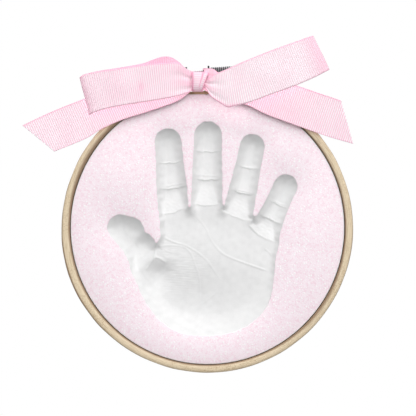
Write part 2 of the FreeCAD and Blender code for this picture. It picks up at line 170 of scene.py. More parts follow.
def addNode(tree, kind, values=None, **settings):
    node = tree.nodes.new(kind)
    for key, value in settings.items():
        setattr(node, key, value)
    for key, value in (values or {}).items():
        socket = node.inputs[key]
        if isinstance(value, bpy.types.NodeSocket):
            tree.links.new(value, socket)
        else:
            socket.default_value = value
    return node


def maths(tree, operation, first, second=0.0, clamp=False):
    settings = {"operation": operation, "use_clamp": clamp}
    return addNode(tree, "ShaderNodeMath", {0: first, 1: second}, **settings).outputs[0]


def times(tree, first, second):
    return maths(tree, "MULTIPLY", first, second)


def plus(tree, first, second, clamp=False):
    return maths(tree, "ADD", first, second, clamp)


def vectorMaths(tree, operation, first, second=(0, 0, 0), output="Vector"):
    return addNode(tree, "ShaderNodeVectorMath", {0: first, 1: second}, operation=operation).outputs[output]


def combine(tree, x, y):
    return addNode(tree, "ShaderNodeCombineXYZ", {0: x, 1: y}).outputs[0]


def mixColour(tree, share, first, second):
    return addNode(tree, "ShaderNodeMix", {0: share, 6: first, 7: second}, data_type="RGBA").outputs[2]


def between(tree, value, low, high, toLow=0.0, toHigh=1.0):
    sockets = {"Value": value, "From Min": low, "From Max": high, "To Min": toLow, "To Max": toHigh}
    return addNode(tree, "ShaderNodeMapRange", sockets, interpolation_type="SMOOTHSTEP").outputs[0]


def noise(tree, vector, scale, detail=3.0, rough=0.55, bent=0.0):
    sockets = {"Vector": vector, "Scale": scale, "Detail": detail, "Roughness": rough, "Distortion": bent}
    return addNode(tree, "ShaderNodeTexNoise", sockets).outputs["Fac"]


def cells(tree, vector, scale):
    return addNode(tree, "ShaderNodeTexVoronoi", {"Vector": vector, "Scale": scale}).outputs


def millimetres(tree):
    # the place on the piece, in millimetres
    place = addNode(tree, "ShaderNodeTexCoord").outputs["Object"]
    return addNode(tree, "ShaderNodeVectorMath", {0: place, 3: 1 / mm}, operation="SCALE").outputs[0]


def newMaterial(name, look, plain=None):
    # plain values go straight to the shader's own sockets
    material = bpy.data.materials.new(name)
    material.use_nodes = True
    tree = material.node_tree
    surface = tree.nodes["Principled BSDF"]
    values = {"Base Color": look["colour"], "Roughness": look["roughness"], **(plain or {})}
    for label, value in values.items():
        surface.inputs[label].default_value = value
    material.diffuse_color = look["colour"]
    return material, tree, surface


def setBump(tree, surface, height, look):
    sockets = {"Height": height, "Distance": look["bump"] * mm, "Strength": look["bumpStrength"]}
    tree.links.new(addNode(tree, "ShaderNodeBump", sockets).outputs[0], surface.inputs["Normal"])


number, tint, vector = "NodeSocketFloat", "NodeSocketColor", "NodeSocketVector"


def newGroup(name, inputs, outputs):
    group = bpy.data.node_groups.new(name, "ShaderNodeTree")
    for label, kind, value in inputs:
        socket = group.interface.new_socket(label, in_out="INPUT", socket_type=kind)
        socket.default_value = value
    for label, kind in outputs:
        group.interface.new_socket(label, in_out="OUTPUT", socket_type=kind)
    start = group.nodes.new("NodeGroupInput")
    end = group.nodes.new("NodeGroupOutput")
    return group, start.outputs, end.inputs


def placeGroup(tree, group, values):
    return addNode(tree, "ShaderNodeGroup", values, node_tree=group).outputs


def makeMottleGroup():
    # cloudy colour with fine grit, for clay and card
    group, given, wanted = newGroup(
        "softMottle",
        [
            ("Place", vector, (0, 0, 0)),
            ("Colour", tint, (1, 1, 1, 1)),
            ("Darker", tint, (0, 0, 0, 1)),
            ("Cloud Scale", number, 0.2),
            ("Grit Scale", number, 3.0),
            ("Amount", number, 0.3),
        ],
        [("Colour", tint), ("Height", number)],
    )
    cloud = noise(group, given["Place"], given["Cloud Scale"], 4.0)
    grit = noise(group, given["Place"], given["Grit Scale"], 5.0, 0.7)
    share = plus(group, times(group, cloud, 0.6), times(group, grit, 0.4))
    share = times(group, between(group, share, 0.42, 0.66), given["Amount"])
    group.links.new(mixColour(group, share, given["Colour"], given["Darker"]), wanted["Colour"])
    group.links.new(grit, wanted["Height"])
    return group


def makeMetalGroup():
    # fine drawn marks and dull patches on plated metal
    group, given, wanted = newGroup(
        "platedMetal",
        [
            ("Place", vector, (0, 0, 0)),
            ("Colour", tint, (0.6, 0.6, 0.6, 1)),
            ("Dull Colour", tint, (0.3, 0.3, 0.3, 1)),
            ("Roughness", number, 0.3),
            ("Dull Amount", number, 0.4),
        ],
        [("Colour", tint), ("Roughness", number), ("Height", number)],
    )
    patches = between(group, noise(group, given["Place"], 0.9, 3.0), 0.48, 0.70)
    marks = noise(group, vectorMaths(group, "MULTIPLY", given["Place"], (0.6, 9.0, 9.0)), 1.5, 2.0)
    dull = times(group, patches, given["Dull Amount"])
    group.links.new(mixColour(group, dull, given["Colour"], given["Dull Colour"]), wanted["Colour"])
    rough = plus(group, given["Roughness"], times(group, dull, 0.35))
    group.links.new(plus(group, rough, times(group, marks, 0.06)), wanted["Roughness"])
    group.links.new(marks, wanted["Height"])
    return group


def makeGrainGroup():
    # long grain round the hoop, and the fine cross marks of a bent strip
    group, given, wanted = newGroup(
        "bentGrain",
        [
            ("Around", number, 0.0),
            ("Across", number, 0.0),
            ("Colour", tint, (1, 1, 1, 1)),
            ("Line Colour", tint, (0, 0, 0, 1)),
            ("Line Amount", number, 0.5),
            ("Cross Amount", number, 0.3),
        ],
        [("Colour", tint), ("Height", number)],
    )
    linePlace = combine(group, times(group, given["Around"], 0.07), given["Across"])
    lines = between(group, noise(group, linePlace, 2.6, 5.0, 0.65, 0.6), 0.46, 0.64)
    hatchPlace = combine(group, given["Around"], times(group, given["Across"], 0.35))
    hatch = between(group, noise(group, hatchPlace, 2.3, 3.0, 0.6), 0.50, 0.62)
    patch = between(group, noise(group, hatchPlace, 0.045, 2.0), 0.42, 0.60)
    cross = times(group, times(group, hatch, patch), given["Cross Amount"])
    mark = plus(group, times(group, lines, given["Line Amount"]), cross, clamp=True)
    group.links.new(mixColour(group, mark, given["Colour"], given["Line Colour"]), wanted["Colour"])
    group.links.new(maths(group, "SUBTRACT", 1.0, mark), wanted["Height"])
    return group


def readValue(tree, name):
    return addNode(tree, "ShaderNodeAttribute", attribute_name=name).outputs["Fac"]


clayLook = {
    "colour": shade(236, 236, 236),
    "darker": shade(220, 220, 220),
    "roughness": 0.9,
    "cloudScale": 0.25,
    "gritScale": 4.0,
    "amount": 0.35,
    "specular": 0.25,
    "bump": 0.05,
    "bumpStrength": 0.5,
}
glitterLook = {
    "colour": shade(252, 240, 246),
    "streak": shade(246, 219, 230),
    # the white painted into some flakes, a painted glint
    "glint": shade(255, 252, 253),
    "roughness": 0.62,
    "glintRoughness": 0.25,
    "specular": 0.4,
    "cloudScale": 0.35,
    "cloudShare": 0.22,
    "streakScale": 0.80,
    "streakShare": 0.8,
    "flakeScale": 0.95,
    "fineScale": 2.6,
    "fineHeight": -0.7,
    "bump": 0.10,
    "bumpStrength": 0.5,
}
woodLook = {
    "colour": shade(226, 208, 178),
    "line": shade(186, 161, 124),
    # the colour of the painted shade on the hoop's inner and outer edges
    "edge": shade(128, 98, 72),
    "roughness": 0.6,
    "lineAmount": 0.55,
    "crossAmount": 0.55,
    "bump": 0.05,
    "bumpStrength": 0.6,
}
# the inner hoop keeps its mesh; its grain runs by its place round the middle. Its wood and grain lines are
# painted darker than the outer hoop's, as shade on the strip that shows under the knot
innerWoodLook = {
    "colour": shade(196, 172, 136),
    "line": shade(120, 96, 66),
    "roughness": 0.6,
    "lineAmount": 0.7,
    "crossAmount": 0.3,
    "radius": 60.0,
    "bump": 0.05,
    "bumpStrength": 0.6,
}
cardLook = {
    "colour": shade(214, 205, 190),
    "darker": shade(178, 166, 147),
    "roughness": 0.95,
    "cloudScale": 0.12,
    "gritScale": 2.4,
    "amount": 0.4,
    "fibreStretch": (0.7, 1, 4),
    "fibreScale": 1.6,
    "fibreShare": 0.4,
    "bump": 0.12,
    "bumpStrength": 0.7,
}
nickelLook = {
    "colour": shade(150, 150, 152),
    "dull": shade(70, 69, 69),
    "roughness": 0.28,
    "dullAmount": 0.35,
    "bump": 0.02,
    "bumpStrength": 0.4,
}
# the thumb screw: painted shade, dark rings that cross its straight knurl where the grooves of a crossed
# knurl would lie in shade, and follow each other along its axis
screwLook = {**nickelLook, "dullAmount": 0.5, "ring": shade(24, 24, 25), "ringPitch": 0.9, "ringShadeShare": 0.9}
steelLook = {
    "colour": shade(62, 62, 64),
    "dull": shade(24, 24, 24),
    "roughness": 0.4,
    "dullAmount": 0.6,
    "bump": 0.02,
    "bumpStrength": 0.4,
}
ribbonLook = {
    "colour": shade(255, 245, 249),
    # the rib tops are painted lighter, a painted highlight, and the rib grooves darker pink, a painted shade
    "ribGrooveShade": shade(250, 180, 208),
    "deep": shade(252, 176, 205),
    "roughness": 0.72,
    "ribPitch": 0.93,
    "threadsAcross": 14.0,
    "threadScale": 1.6,
    "edgeShare": 0.6,
    "sheen": 0.25,
    "sheenRoughness": 0.4,
    "specular": 0.3,
    "bump": 0.03,
    "bumpStrength": 0.3,
}


def mottled(tree, mottle, look, place):
    values = {"Place": place, "Colour": look["colour"], "Darker": look["darker"], "Amount": look["amount"]}
    values.update({"Cloud Scale": look["cloudScale"], "Grit Scale": look["gritScale"]})
    return placeGroup(tree, mottle, values)


def grained(tree, grain, look, around, across):
    values = {"Around": around, "Across": across, "Colour": look["colour"], "Line Colour": look["line"]}
    values.update({"Line Amount": look["lineAmount"], "Cross Amount": look["crossAmount"]})
    return placeGroup(tree, grain, values)


def makeClay(mottle):
    look = clayLook
    plain = {"Specular IOR Level": look["specular"]}
    material, tree, surface = newMaterial("print_clay_looks", look, plain)
    made = mottled(tree, mottle, look, millimetres(tree))
    tree.links.new(made["Colour"], surface.inputs["Base Color"])
    setBump(tree, surface, made["Height"], look)
    return material


def makeGlitter():
    look = glitterLook
    plain = {"Specular IOR Level": look["specular"]}
    material, tree, surface = newMaterial("glitter_pink_looks", look, plain)
    place = millimetres(tree)
    clouds = between(tree, noise(tree, place, look["cloudScale"], 3.0, 0.65, 0.8), 0.40, 0.62)
    streaks = between(tree, noise(tree, place, look["streakScale"], 3.0, 0.75, 1.4), 0.50, 0.60)
    colour = mixColour(tree, times(tree, clouds, look["cloudShare"]), look["colour"], look["streak"])
    colour = mixColour(tree, times(tree, streaks, look["streakShare"]), colour, look["streak"])
    # painted glints: about a third of the flakes get white painted into their colour, and are smoother
    flakes = cells(tree, place, look["flakeScale"])
    chance = addNode(tree, "ShaderNodeSeparateColor", {0: flakes["Color"]}).outputs[0]
    middle = between(tree, flakes["Distance"], 0.22, 0.42, 1.0, 0.0)
    glint = times(tree, between(tree, chance, 0.66, 0.72), middle)
    tree.links.new(mixColour(tree, glint, colour, look["glint"]), surface.inputs["Base Color"])
    rough = between(tree, glint, 0.0, 1.0, look["roughness"], look["glintRoughness"])
    tree.links.new(rough, surface.inputs["Roughness"])
    fine = times(tree, cells(tree, place, look["fineScale"])["Distance"], look["fineHeight"])
    setBump(tree, surface, plus(tree, fine, glint), look)
    return material


def makeWood(grain):
    look = woodLook
    material, tree, surface = newMaterial("hoop_wood_looks", look)
    made = grained(tree, grain, look, readValue(tree, "around"), readValue(tree, "across"))
    # painted shade: the edge value darkens the hoop's inner and outer edges
    colour = mixColour(tree, readValue(tree, "edge"), made["Colour"], look["edge"])
    tree.links.new(colour, surface.inputs["Base Color"])
    setBump(tree, surface, made["Height"], look)
    return material


def makeInnerWood(grain):
    look = innerWoodLook
    material, tree, surface = newMaterial("inner_wood_looks", look)
    x, y, z = addNode(tree, "ShaderNodeSeparateXYZ", {0: millimetres(tree)}).outputs
    around = times(tree, maths(tree, "ARCTAN2", x, z), look["radius"])
    radius = vectorMaths(tree, "LENGTH", combine(tree, x, z), output="Value")
    made = grained(tree, grain, look, around, plus(tree, y, radius))
    tree.links.new(made["Colour"], surface.inputs["Base Color"])
    setBump(tree, surface, made["Height"], look)
    return material


def makeCard(mottle):
    look = cardLook
    material, tree, surface = newMaterial("board_card_looks", look)
    place = millimetres(tree)
    made = mottled(tree, mottle, look, place)
    fibre = noise(tree, vectorMaths(tree, "MULTIPLY", place, look["fibreStretch"]), look["fibreScale"])
    fibreShade = between(tree, fibre, 0.55, 0.7, 0.0, look["fibreShare"])
    colour = mixColour(tree, fibreShade, made["Colour"], look["darker"])
    tree.links.new(colour, surface.inputs["Base Color"])
    setBump(tree, surface, plus(tree, made["Height"], fibre), look)
    return material


def makeMetal(name, look, plated):
    material, tree, surface = newMaterial(name, look, {"Metallic": 1.0})
    values = {"Place": millimetres(tree), "Colour": look["colour"], "Dull Colour": look["dull"]}
    values.update({"Roughness": look["roughness"], "Dull Amount": look["dullAmount"]})
    made = placeGroup(tree, plated, values)
    tree.links.new(made["Colour"], surface.inputs["Base Color"])
    tree.links.new(made["Roughness"], surface.inputs["Roughness"])
    setBump(tree, surface, made["Height"], look)
    return material


def makeRibbon():
    look = ribbonLook
    plain = {"Sheen Weight": look["sheen"], "Sheen Roughness": look["sheenRoughness"]}
    plain["Specular IOR Level"] = look["specular"]
    material, tree, surface = newMaterial("ribbon_grosgrain_looks", look, plain)
    along, across, deep, ribTone = [readValue(tree, name) for name in ("along", "across", "deep", "ribTone")]
    ribs = maths(tree, "COSINE", times(tree, along, 2 * math.pi / look["ribPitch"]))
    threadPlace = combine(tree, times(tree, along, 0.5), times(tree, across, look["threadsAcross"]))
    thread = noise(tree, threadPlace, look["threadScale"], 3.0)
    # painted shade in the rib grooves, against lighter rib tops
    ribGrooveShade = times(tree, between(tree, ribs, -0.3, 0.9), between(tree, thread, 0.30, 0.70, 0.62, 0.88))
    colour = mixColour(tree, times(tree, ribGrooveShade, ribTone), look["colour"], look["ribGrooveShade"])
    # the woven edges are darker, the upper one most
    upperEdge = between(tree, across, 0.020, 0.048, 1.0, 0.0)
    lowerEdge = between(tree, across, 0.960, 0.985, 0.0, 0.5)
    edges = times(tree, plus(tree, upperEdge, lowerEdge), look["edgeShare"])
    colour = mixColour(tree, edges, colour, look["deep"])
    # deep: dark pink that is partly the ribbon's own tone and partly painted shade and shadow
    tree.links.new(mixColour(tree, deep, colour, look["deep"]), surface.inputs["Base Color"])
    setBump(tree, surface, thread, look)
    return material


def makeScrewMetal(plated):
    look = screwLook
    material = makeMetal("thumb_screw_looks", look, plated)
    tree = material.node_tree
    base = tree.nodes["Principled BSDF"].inputs["Base Color"]
    plain = base.links[0].from_socket
    line = vectorMaths(tree, "DOT_PRODUCT", millimetres(tree), frame["joints"][1]["axis"], "Value")
    wave = maths(tree, "COSINE", times(tree, line, 2 * math.pi / look["ringPitch"]))
    # painted shade: dark rings following each other along the axis
    ringShade = times(tree, between(tree, wave, -0.5, 0.6), look["ringShadeShare"])
    tree.links.new(mixColour(tree, ringShade, plain, look["ring"]), base)
    return material


mottleGroup, metalGroup, grainGroup = makeMottleGroup(), makeMetalGroup(), makeGrainGroup()
clay, glitter = makeClay(mottleGroup), makeGlitter()
wood, innerWood, card = makeWood(grainGroup), makeInnerWood(grainGroup), makeCard(mottleGroup)
nickel = makeMetal("screw_nickel_looks", nickelLook, metalGroup)
screwMetal = makeScrewMetal(metalGroup)
steel = makeMetal("lug_steel_looks", steelLook, metalGroup)
ribbon = makeRibbon()
print("materials made")

# The CAD pieces that keep their own meshes
keptNodes = {
    "inner_hoop": innerWood,
    "backing_board": card,
    "lug_left": steel,
    "lug_right": steel,
    "lug_rivets": nickel,
    "clamp_screw": screwMetal,
    "clamp_nut": nickel,
}
for nodeName, material in keptNodes.items():
    for materialSlot in frame["nodes"][nodeName].material_slots:
        materialSlot.material = material

# The print. For each finger: the middle of the tip and of the root; the half widths at the tip, both
# creases and the root; where the creases are; how far a second line runs beside each crease, and the slant
# of the root's line; the floor's depth; how much its three pads rise, swell and tilt; how high the creases
# stand; and how far the wall reaches in from the edge
longFinger = {
    "depth": 5.4,
    "rises": (-0.7, 0.2, 1.7),
    "swell": 0.26,
    "tilt": 0.10,
    "ridge": 0.30,
    "wall": 4.8,
}
fingers = {
    "index": {
        **longFinger,
        "tip": (168.0, 141.5),
        "root": (173.7, 212.6),
        "halves": (12.9, 13.4, 15.0, 14.8),
        "creases": (0.292, 0.66),
        "twin": (0.0, 1.3),
        "slant": 1.4,
    },
    "middle": {
        **longFinger,
        "tip": (208.0, 135.0),
        "root": (206.6, 205.8),
        "halves": (13.5, 13.9, 14.8, 15.5),
        "creases": (0.23, 0.63),
        "twin": (0.0, 1.8),
        "slant": 0.0,
    },
    "ring": {
        **longFinger,
        "tip": (252.3, 146.6),
        "root": (237.0, 218.0),
        "halves": (12.2, 12.4, 13.9, 15.2),
        "creases": (0.293, 0.648),
        "twin": (0.0, 1.0),
        "slant": -0.8,
    },
    "little": {
        **longFinger,
        "tip": (285.6, 186.3),
        "root": (262.4, 237.2),
        "halves": (11.7, 11.6, 13.1, 16.3),
        "creases": (0.348, 0.655),
        "depth": 4.8,
        "rises": (-0.6, 0.2, 1.6),
        "twin": (0.9, 0.0),
        "slant": -0.9,
    },
    "thumb": {
        "tip": (119.8, 227.2),
        "root": (149.2, 263.5),
        "halves": (12.5, 12.4, 15.9, 18.4),
        "bulges": (((129.0, 231.6), 14.8), ((140.6, 247), 14.8)),
        "bulgeBlend": 1.4,
        "creases": (0.45, 0.80),
        "twin": (0.0, 0.0),
        "slant": 0.0,
        "depth": 6.8,
        "rises": (-0.9, 0.1, 0.5),
        "swell": 0.12,
        "tilt": 0.03,
        "ridge": 0.08,
        "wall": 6.2,
        "rootFade": (0.55, 1.0),
    },
}
# What the creases and pads of all fingers share
creases = {
    "bow": 0.35,
    "uneven": ((0.22, 2.6, 11), (0.10, 0.9, 12)),
    "padEdge": 0.12,
    "width": 0.32,
    "twinWidth": 0.30,
    "rootWidth": 0.45,
    "lesser": 0.6,
    "rootEdge": 0.16,
}
palm = {
    "edge": (
        (130.8, 267.4), (136.2, 282.4), (143, 297.3), (150.5, 309.3), (160.9, 321.3), (177.4, 331.8),
        (196.9, 335.6), (214.9, 335.3), (234.4, 331.8), (253.9, 321.3), (265.9, 307.8), (271.1, 294.4),
        (274.1, 274.9), (275.6, 256.9), (278.5, 241), (268, 228), (254, 217), (238, 208), (222.5, 206.5),
        (206, 203), (190, 208), (176, 207), (163, 214), (160, 226), (160.6, 236), (157, 243.5), (148, 250),
        (136, 257),
    ),
    "depth": 2.4,
    "topDrop": 1.4,
    "topSpan": (280, 205),
    "bowl": {"middle": (190, 307), "reach": (47, 36), "depth": 3.2},
    "hollow": {"middle": (157.5, 258), "reach": (10.5, 16, 18), "depth": 3.6},
    "bottomRise": 0.5,
    "bottomSpan": (300, 336),
    "wall": 2.6,
    "rootWall": 2.2,
    "bottomWall": 11.0,
    "wallSpan": (255, 330),
    "rootWallSpan": (0.6, 1.0),
    "fingerEdge": 0.35,
    "fingerBlend": 0.22,
    "webRound": 1.5,
    "wrinkles": {"middle": (180, 268), "reach": 11, "height": 0.05, "stretch": 0.22, "size": 0.55},
    "uneven": 0.03,
    "unevenEdge": 0.12,
    "chips": (((198.5, 124.2), -0.16, 1.3), ((203.5, 121.4), 0.16, 0.7), ((207, 121.0), -0.22, 0.6)),
}
# Soft pads that press deeper than the palm's floor (or stand higher, where negative): middle, reach across
# and down before the turn, turn in degrees, and depth
pads = (
    ((176, 228), 13, 10, -10, 0.28),
    ((207, 225), 12, 9, 0, 0.26),
    ((237, 233), 13, 9, 12, 0.26),
    ((260, 250), 9, 10, 20, 0.20),
    ((246, 292), 14, 24, -8, 0.30),
    ((214, 262), 10, 20, -38, -0.18),
    ((197, 292), 8, 6, 0, 0.16),
    ((190.5, 211), 5.5, 5, 0, -1.3),
    ((223, 210.5), 5.5, 5, 0, -1.3),
    ((254.5, 221), 5.5, 5, 20, -1.3),
)
# Lines of the palm, which stand up in the print: points, height, half width, and the height at each end
palmLines = (
    (
        (
            (158.5, 235.2), (173, 241.9), (184.9, 245.6), (197, 252.4), (207.4, 261.4), (214.9, 271.9),
            (222.4, 282.4),
        ),
        0.20, 0.40, 1.1, 0.2,
    ),
    (
        (
            (158, 246.4), (170, 245.6), (183.4, 247.1), (190.9, 253.9), (195.4, 265.9), (199.2, 279.4),
            (199.9, 300),
        ),
        0.16, 0.38, 0.9, 0.2,
    ),
    (
        (
            (194, 213.4), (205.9, 228.4), (210.4, 238.9), (219.4, 250.9), (229.9, 257.6), (252.4, 265.9),
            (270, 271.9),
        ),
        0.20, 0.42, 0.25, 1.2,
    ),
    (((265, 249), (269, 252), (272, 256)), 0.16, 0.36, 0.6, 0.9),
    (((199.9, 306), (208, 300), (218, 291.4)), 0.12, 0.36, 0.4, 0.7),
    (((200, 312), (197, 319), (192, 325)), 0.07, 0.40, 0.5, 0.4),
    (((156.8, 241), (155.6, 248), (154.3, 256), (151, 263), (145.5, 271)), 0.42, 0.50, 1.0, 0.5),
    (((155, 257), (160, 259.0), (166, 263.5)), 0.45, 0.50, 0.8, 0.4),
    (((164, 250), (172, 253), (180, 252)), 0.10, 0.32, 0.8, 0.3),
    (((163, 256), (170, 259), (180, 260)), 0.09, 0.30, 0.8, 0.3),
    (((150, 283), (158, 277), (164, 270)), 0.08, 0.40, 0.3, 0.8),
)
coat = {
    "front": 8.9,
    "back": 8.2,
    "radius": 61.0,
    "flatTop": 59.4,
    "lip": 0.35,
    "rimPoints": 361,
    "topPoints": 40,
    "outlineStep": 0.34,
    "probe": 0.02,
    "mostSteps": 6000,
}
tile = {
    "radius": 57.7,
    "back": 1.5,
    "behindCoat": 0.02,
    "under": 1.0,
    "rimGap": 0.5,
    "across": (-48.0, 44.0),
    "up": (-52.0, 51.0),
    "spacing": 0.24,
    "rimPoints": 240,
}


def softUnion(first, second, blend):
    share = np.clip(0.5 + 0.5 * (first - second) / blend, 0, 1)
    return second + (first - second) * share + blend * share * (1 - share)


def fingerPlace(x, z, finger):
    # how far along and across a finger each point lies, and the finger's half width there
    tip, root = frontPlace(finger["tip"]), frontPlace(finger["root"])
    length = np.linalg.norm(root - tip)
    way = (root - tip) / length
    along = (x - tip[0]) * way[0] + (z - tip[1]) * way[1]
    across = (x - tip[0]) * way[1] - (z - tip[1]) * way[0]
    stops = np.array([0, *finger["creases"], 1]) * length
    half = np.interp(along, stops, np.array(finger["halves"]) * view["step"])
    return along, across, half, length


def insideFinger(x, z, finger):
    along, across, half, length = fingerPlace(x, z, finger)
    beyond = along - np.clip(along, 0, length)
    inside = half - np.hypot(across, beyond)
    # round pads that stand out at one side
    for (middleX, middleZ), radius in finger.get("bulges", ()):
        reach = np.hypot(x - frontX(middleX), z - frontZ(middleZ))
        inside = softUnion(inside, radius * view["step"] - reach, finger["bulgeBlend"])
    return inside


palmEdge = smoothLine([frontPlace(point) for point in palm["edge"]], 220, closed=True)


def insidePolygon(x, z, outline):
    # signed distance to a closed outline, above zero inside
    shape = np.broadcast(x, z).shape
    px, pz = np.ravel(x)[:, None], np.ravel(z)[:, None]
    ax, az = outline[:, 0], outline[:, 1]
    bx, bz = np.roll(ax, -1), np.roll(az, -1)
    best = np.empty(px.shape[0])
    within = np.zeros(px.shape[0], bool)
    batch = 8000
    for start in range(0, px.shape[0], batch):
        part = slice(start, start + batch)
        wx, wz = px[part] - ax, pz[part] - az
        ex, ez = bx - ax, bz - az
        t = np.clip((wx * ex + wz * ez) / (ex ** 2 + ez ** 2), 0, 1)
        best[part] = np.sqrt(((wx - t * ex) ** 2 + (wz - t * ez) ** 2).min(1))
        above = (az > pz[part]) != (bz > pz[part])
        crossing = ax + (pz[part] - az) * ex / np.where(ez == 0, 1, ez)
        within[part] = (above & (px[part] < crossing)).sum(1) % 2 == 1
    return np.where(within, best, -best).reshape(shape)


def insideHand(x, z):
    inside = insidePolygon(x, z, palmEdge)
    for finger in fingers.values():
        inside = softUnion(inside, insideFinger(x, z, finger), palm["webRound"])
    for (across, down), out, reach in palm["chips"]:
        inside = inside + out * np.exp(-((x - frontX(across)) ** 2 + (z - frontZ(down)) ** 2) / reach ** 2)
    return inside + palm["unevenEdge"] * ripple(x, z, 2.2, 5)


def lineRidge(x, z, points, height, halfWidth, startShare, endShare):
    line = smoothLine([frontPlace(point) for point in points], 24)
    gap = np.full(np.shape(x), 1e9)
    place = np.zeros(np.shape(x))
    for i, (a, b) in enumerate(zip(line, line[1:])):
        run = b - a
        t = np.clip(((x - a[0]) * run[0] + (z - a[1]) * run[1]) / (run @ run), 0, 1)
        far = np.hypot(x - a[0] - t * run[0], z - a[1] - t * run[1])
        closer = far < gap
        gap = np.where(closer, far, gap)
        place = np.where(closer, (i + t) / (len(line) - 1), place)
    taper = startShare + (endShare - startShare) * place
    taper = taper * smoothStep(0, 0.08, place) * smoothStep(0, 0.08, 1 - place)
    return height * taper * bell(gap / halfWidth)


def fingerFloor(x, z, finger):
    # three pads that meet in creases: the tip's deepens towards its crease, and the root's rises
    along, across, half, length = fingerPlace(x, z, finger)
    share = np.clip(along / length, 0, 1)
    bowed = along + (creases["bow"] + share ** 3) * (across / half) ** 2
    bowed = bowed - finger["slant"] * share ** 3 * across / half
    for amount, size, seed in creases["uneven"]:
        bowed = bowed + amount * ripple(x, z, size, seed)
    first, second = [stop * length for stop in finger["creases"]]
    starts, ends = (-half, first, second), (first, second, length)
    floor = 0
    for i, (start, end, rise) in enumerate(zip(starts, ends, finger["rises"])):
        u = np.clip((bowed - start) / (end - start), -0.1, 1.1)
        part = finger["depth"] + finger["swell"] * 4 * u * (1 - u)
        part = part + finger["tilt"] * (1 - 2 * u) - rise * smoothStep(0.1, 1.05, u)
        weight = 1
        if i == 0:
            part = part + rise
        else:
            weight = fade(bowed - start, creases["padEdge"])
        if i < 2:
            weight = weight * (1 - fade(bowed - end, creases["padEdge"]))
        floor = floor + weight * part
    lesser = creases["lesser"] * finger["ridge"]
    for crease, twin in zip((first, second), finger["twin"]):
        floor = floor - finger["ridge"] * bell((bowed - crease) / creases["width"])
        if twin:
            floor = floor - lesser * bell((bowed - crease + twin) / creases["twinWidth"])
    floor = floor - lesser * bell((bowed - length) / creases["rootWidth"])
    return floor, fade(length - bowed, creases["rootEdge"])


def downThrough(z, span):
    # 0 at the first step of the front view, 1 at the second
    return smoothStep(frontZ(span[0]), frontZ(span[1]), z)


def fromPlace(x, z, point, reachX, reachZ):
    # how many reaches across and up each point lies from a place in the front view
    middleX, middleZ = frontPlace(point)
    return (x - middleX) / reachX, (z - middleZ) / reachZ


def palmFloor(x, z):
    step, bowl, hollow, wrinkles = view["step"], palm["bowl"], palm["hollow"], palm["wrinkles"]
    floor = palm["depth"] + palm["topDrop"] * downThrough(z, palm["topSpan"])
    reachX, reachZ = bowl["reach"]
    floor = floor + bowl["depth"] * bell(*fromPlace(x, z, bowl["middle"], reachX * step, reachZ * step))
    # the hollow under the thumb's web drops quickly and fades away slowly
    across, drop, away = [reach * step for reach in hollow["reach"]]
    sideways, above = fromPlace(x, z, hollow["middle"], across, 1)
    shape = smoothStep(0, drop, -above) * bell(np.maximum(-above - drop, 0) / away)
    floor = floor + hollow["depth"] * shape * np.exp(-(np.where(sideways > 0, 0.7, 1) * sideways ** 2))
    for middle, reachX, reachZ, turnDeg, deeper in pads:
        dx, dz = fromPlace(x, z, middle, 1, 1)
        c, s = math.cos(math.radians(turnDeg)), math.sin(math.radians(turnDeg))
        u, v = (dx * c + dz * s) / (reachX * step), (dz * c - dx * s) / (reachZ * step)
        floor = floor + deeper * bell(u, v)
    for line in palmLines:
        floor = floor - lineRidge(x, z, *line)
    wrinkled = bell(*fromPlace(x, z, wrinkles["middle"], wrinkles["reach"], wrinkles["reach"]))
    fine = ripple(x * wrinkles["stretch"], z, wrinkles["size"], 21)
    return floor + wrinkles["height"] * wrinkled * fine + palm["uneven"] * ripple(x, z, 1.6, 22)


def printDepth(x, z, inside):
    # depth of the print's floor behind the coat's front
    floor = palmFloor(x, z) - palm["bottomRise"] * downThrough(z, palm["bottomSpan"])
    wall = palm["wall"] + (palm["bottomWall"] - palm["wall"]) * downThrough(z, palm["wallSpan"])
    for finger in fingers.values():
        fingerDepth, weight = fingerFloor(x, z, finger)
        weight = weight * fade(insideFinger(x, z, finger) + palm["fingerEdge"], palm["fingerBlend"])
        along, _, _, length = fingerPlace(x, z, finger)
        if "rootFade" in finger:
            weight = weight * (1 - smoothStep(*finger["rootFade"], along / length))
        towardsRoot = smoothStep(*palm["rootWallSpan"], along / length)
        fingerWall = finger["wall"] + (palm["rootWall"] - finger["wall"]) * towardsRoot
        floor = floor + (fingerDepth - floor) * weight
        wall = wall + (fingerWall - wall) * weight
    u = np.clip(inside / wall, 0, 1)
    rim = coat["front"] - coat["back"]
    return rim + (floor - rim) * (1 - (1 - u) ** 2)


def traceOutline():
    # walks round the hand's edge from the middle finger's tip, and pulls each point onto the edge twice
    finger, probe, step = fingers["middle"], coat["probe"], coat["outlineStep"]
    here = frontPlace(finger["tip"]) + np.array([0, finger["halves"][0] * view["step"]])
    found = []
    for count in range(coat["mostSteps"]):
        for _ in range(2):
            xs = here[0] + np.array([0, probe, -probe, 0, 0])
            zs = here[1] + np.array([0, 0, 0, probe, -probe])
            inside = insideHand(xs, zs)
            slope = np.array([inside[1] - inside[2], inside[3] - inside[4]]) / (2 * probe)
            here = here - inside[0] * slope / (slope @ slope)
        inward = slope / np.linalg.norm(slope)
        found.append([*here, *inward])
        if count > 50 and np.linalg.norm(here - found[0][:2]) < step * 0.8:
            break
        here = here + np.array([inward[1], -inward[0]]) * step
    return np.array(found[:-1])


def closedLoop(points):
    return [(i, (i + 1) % points) for i in range(points)]


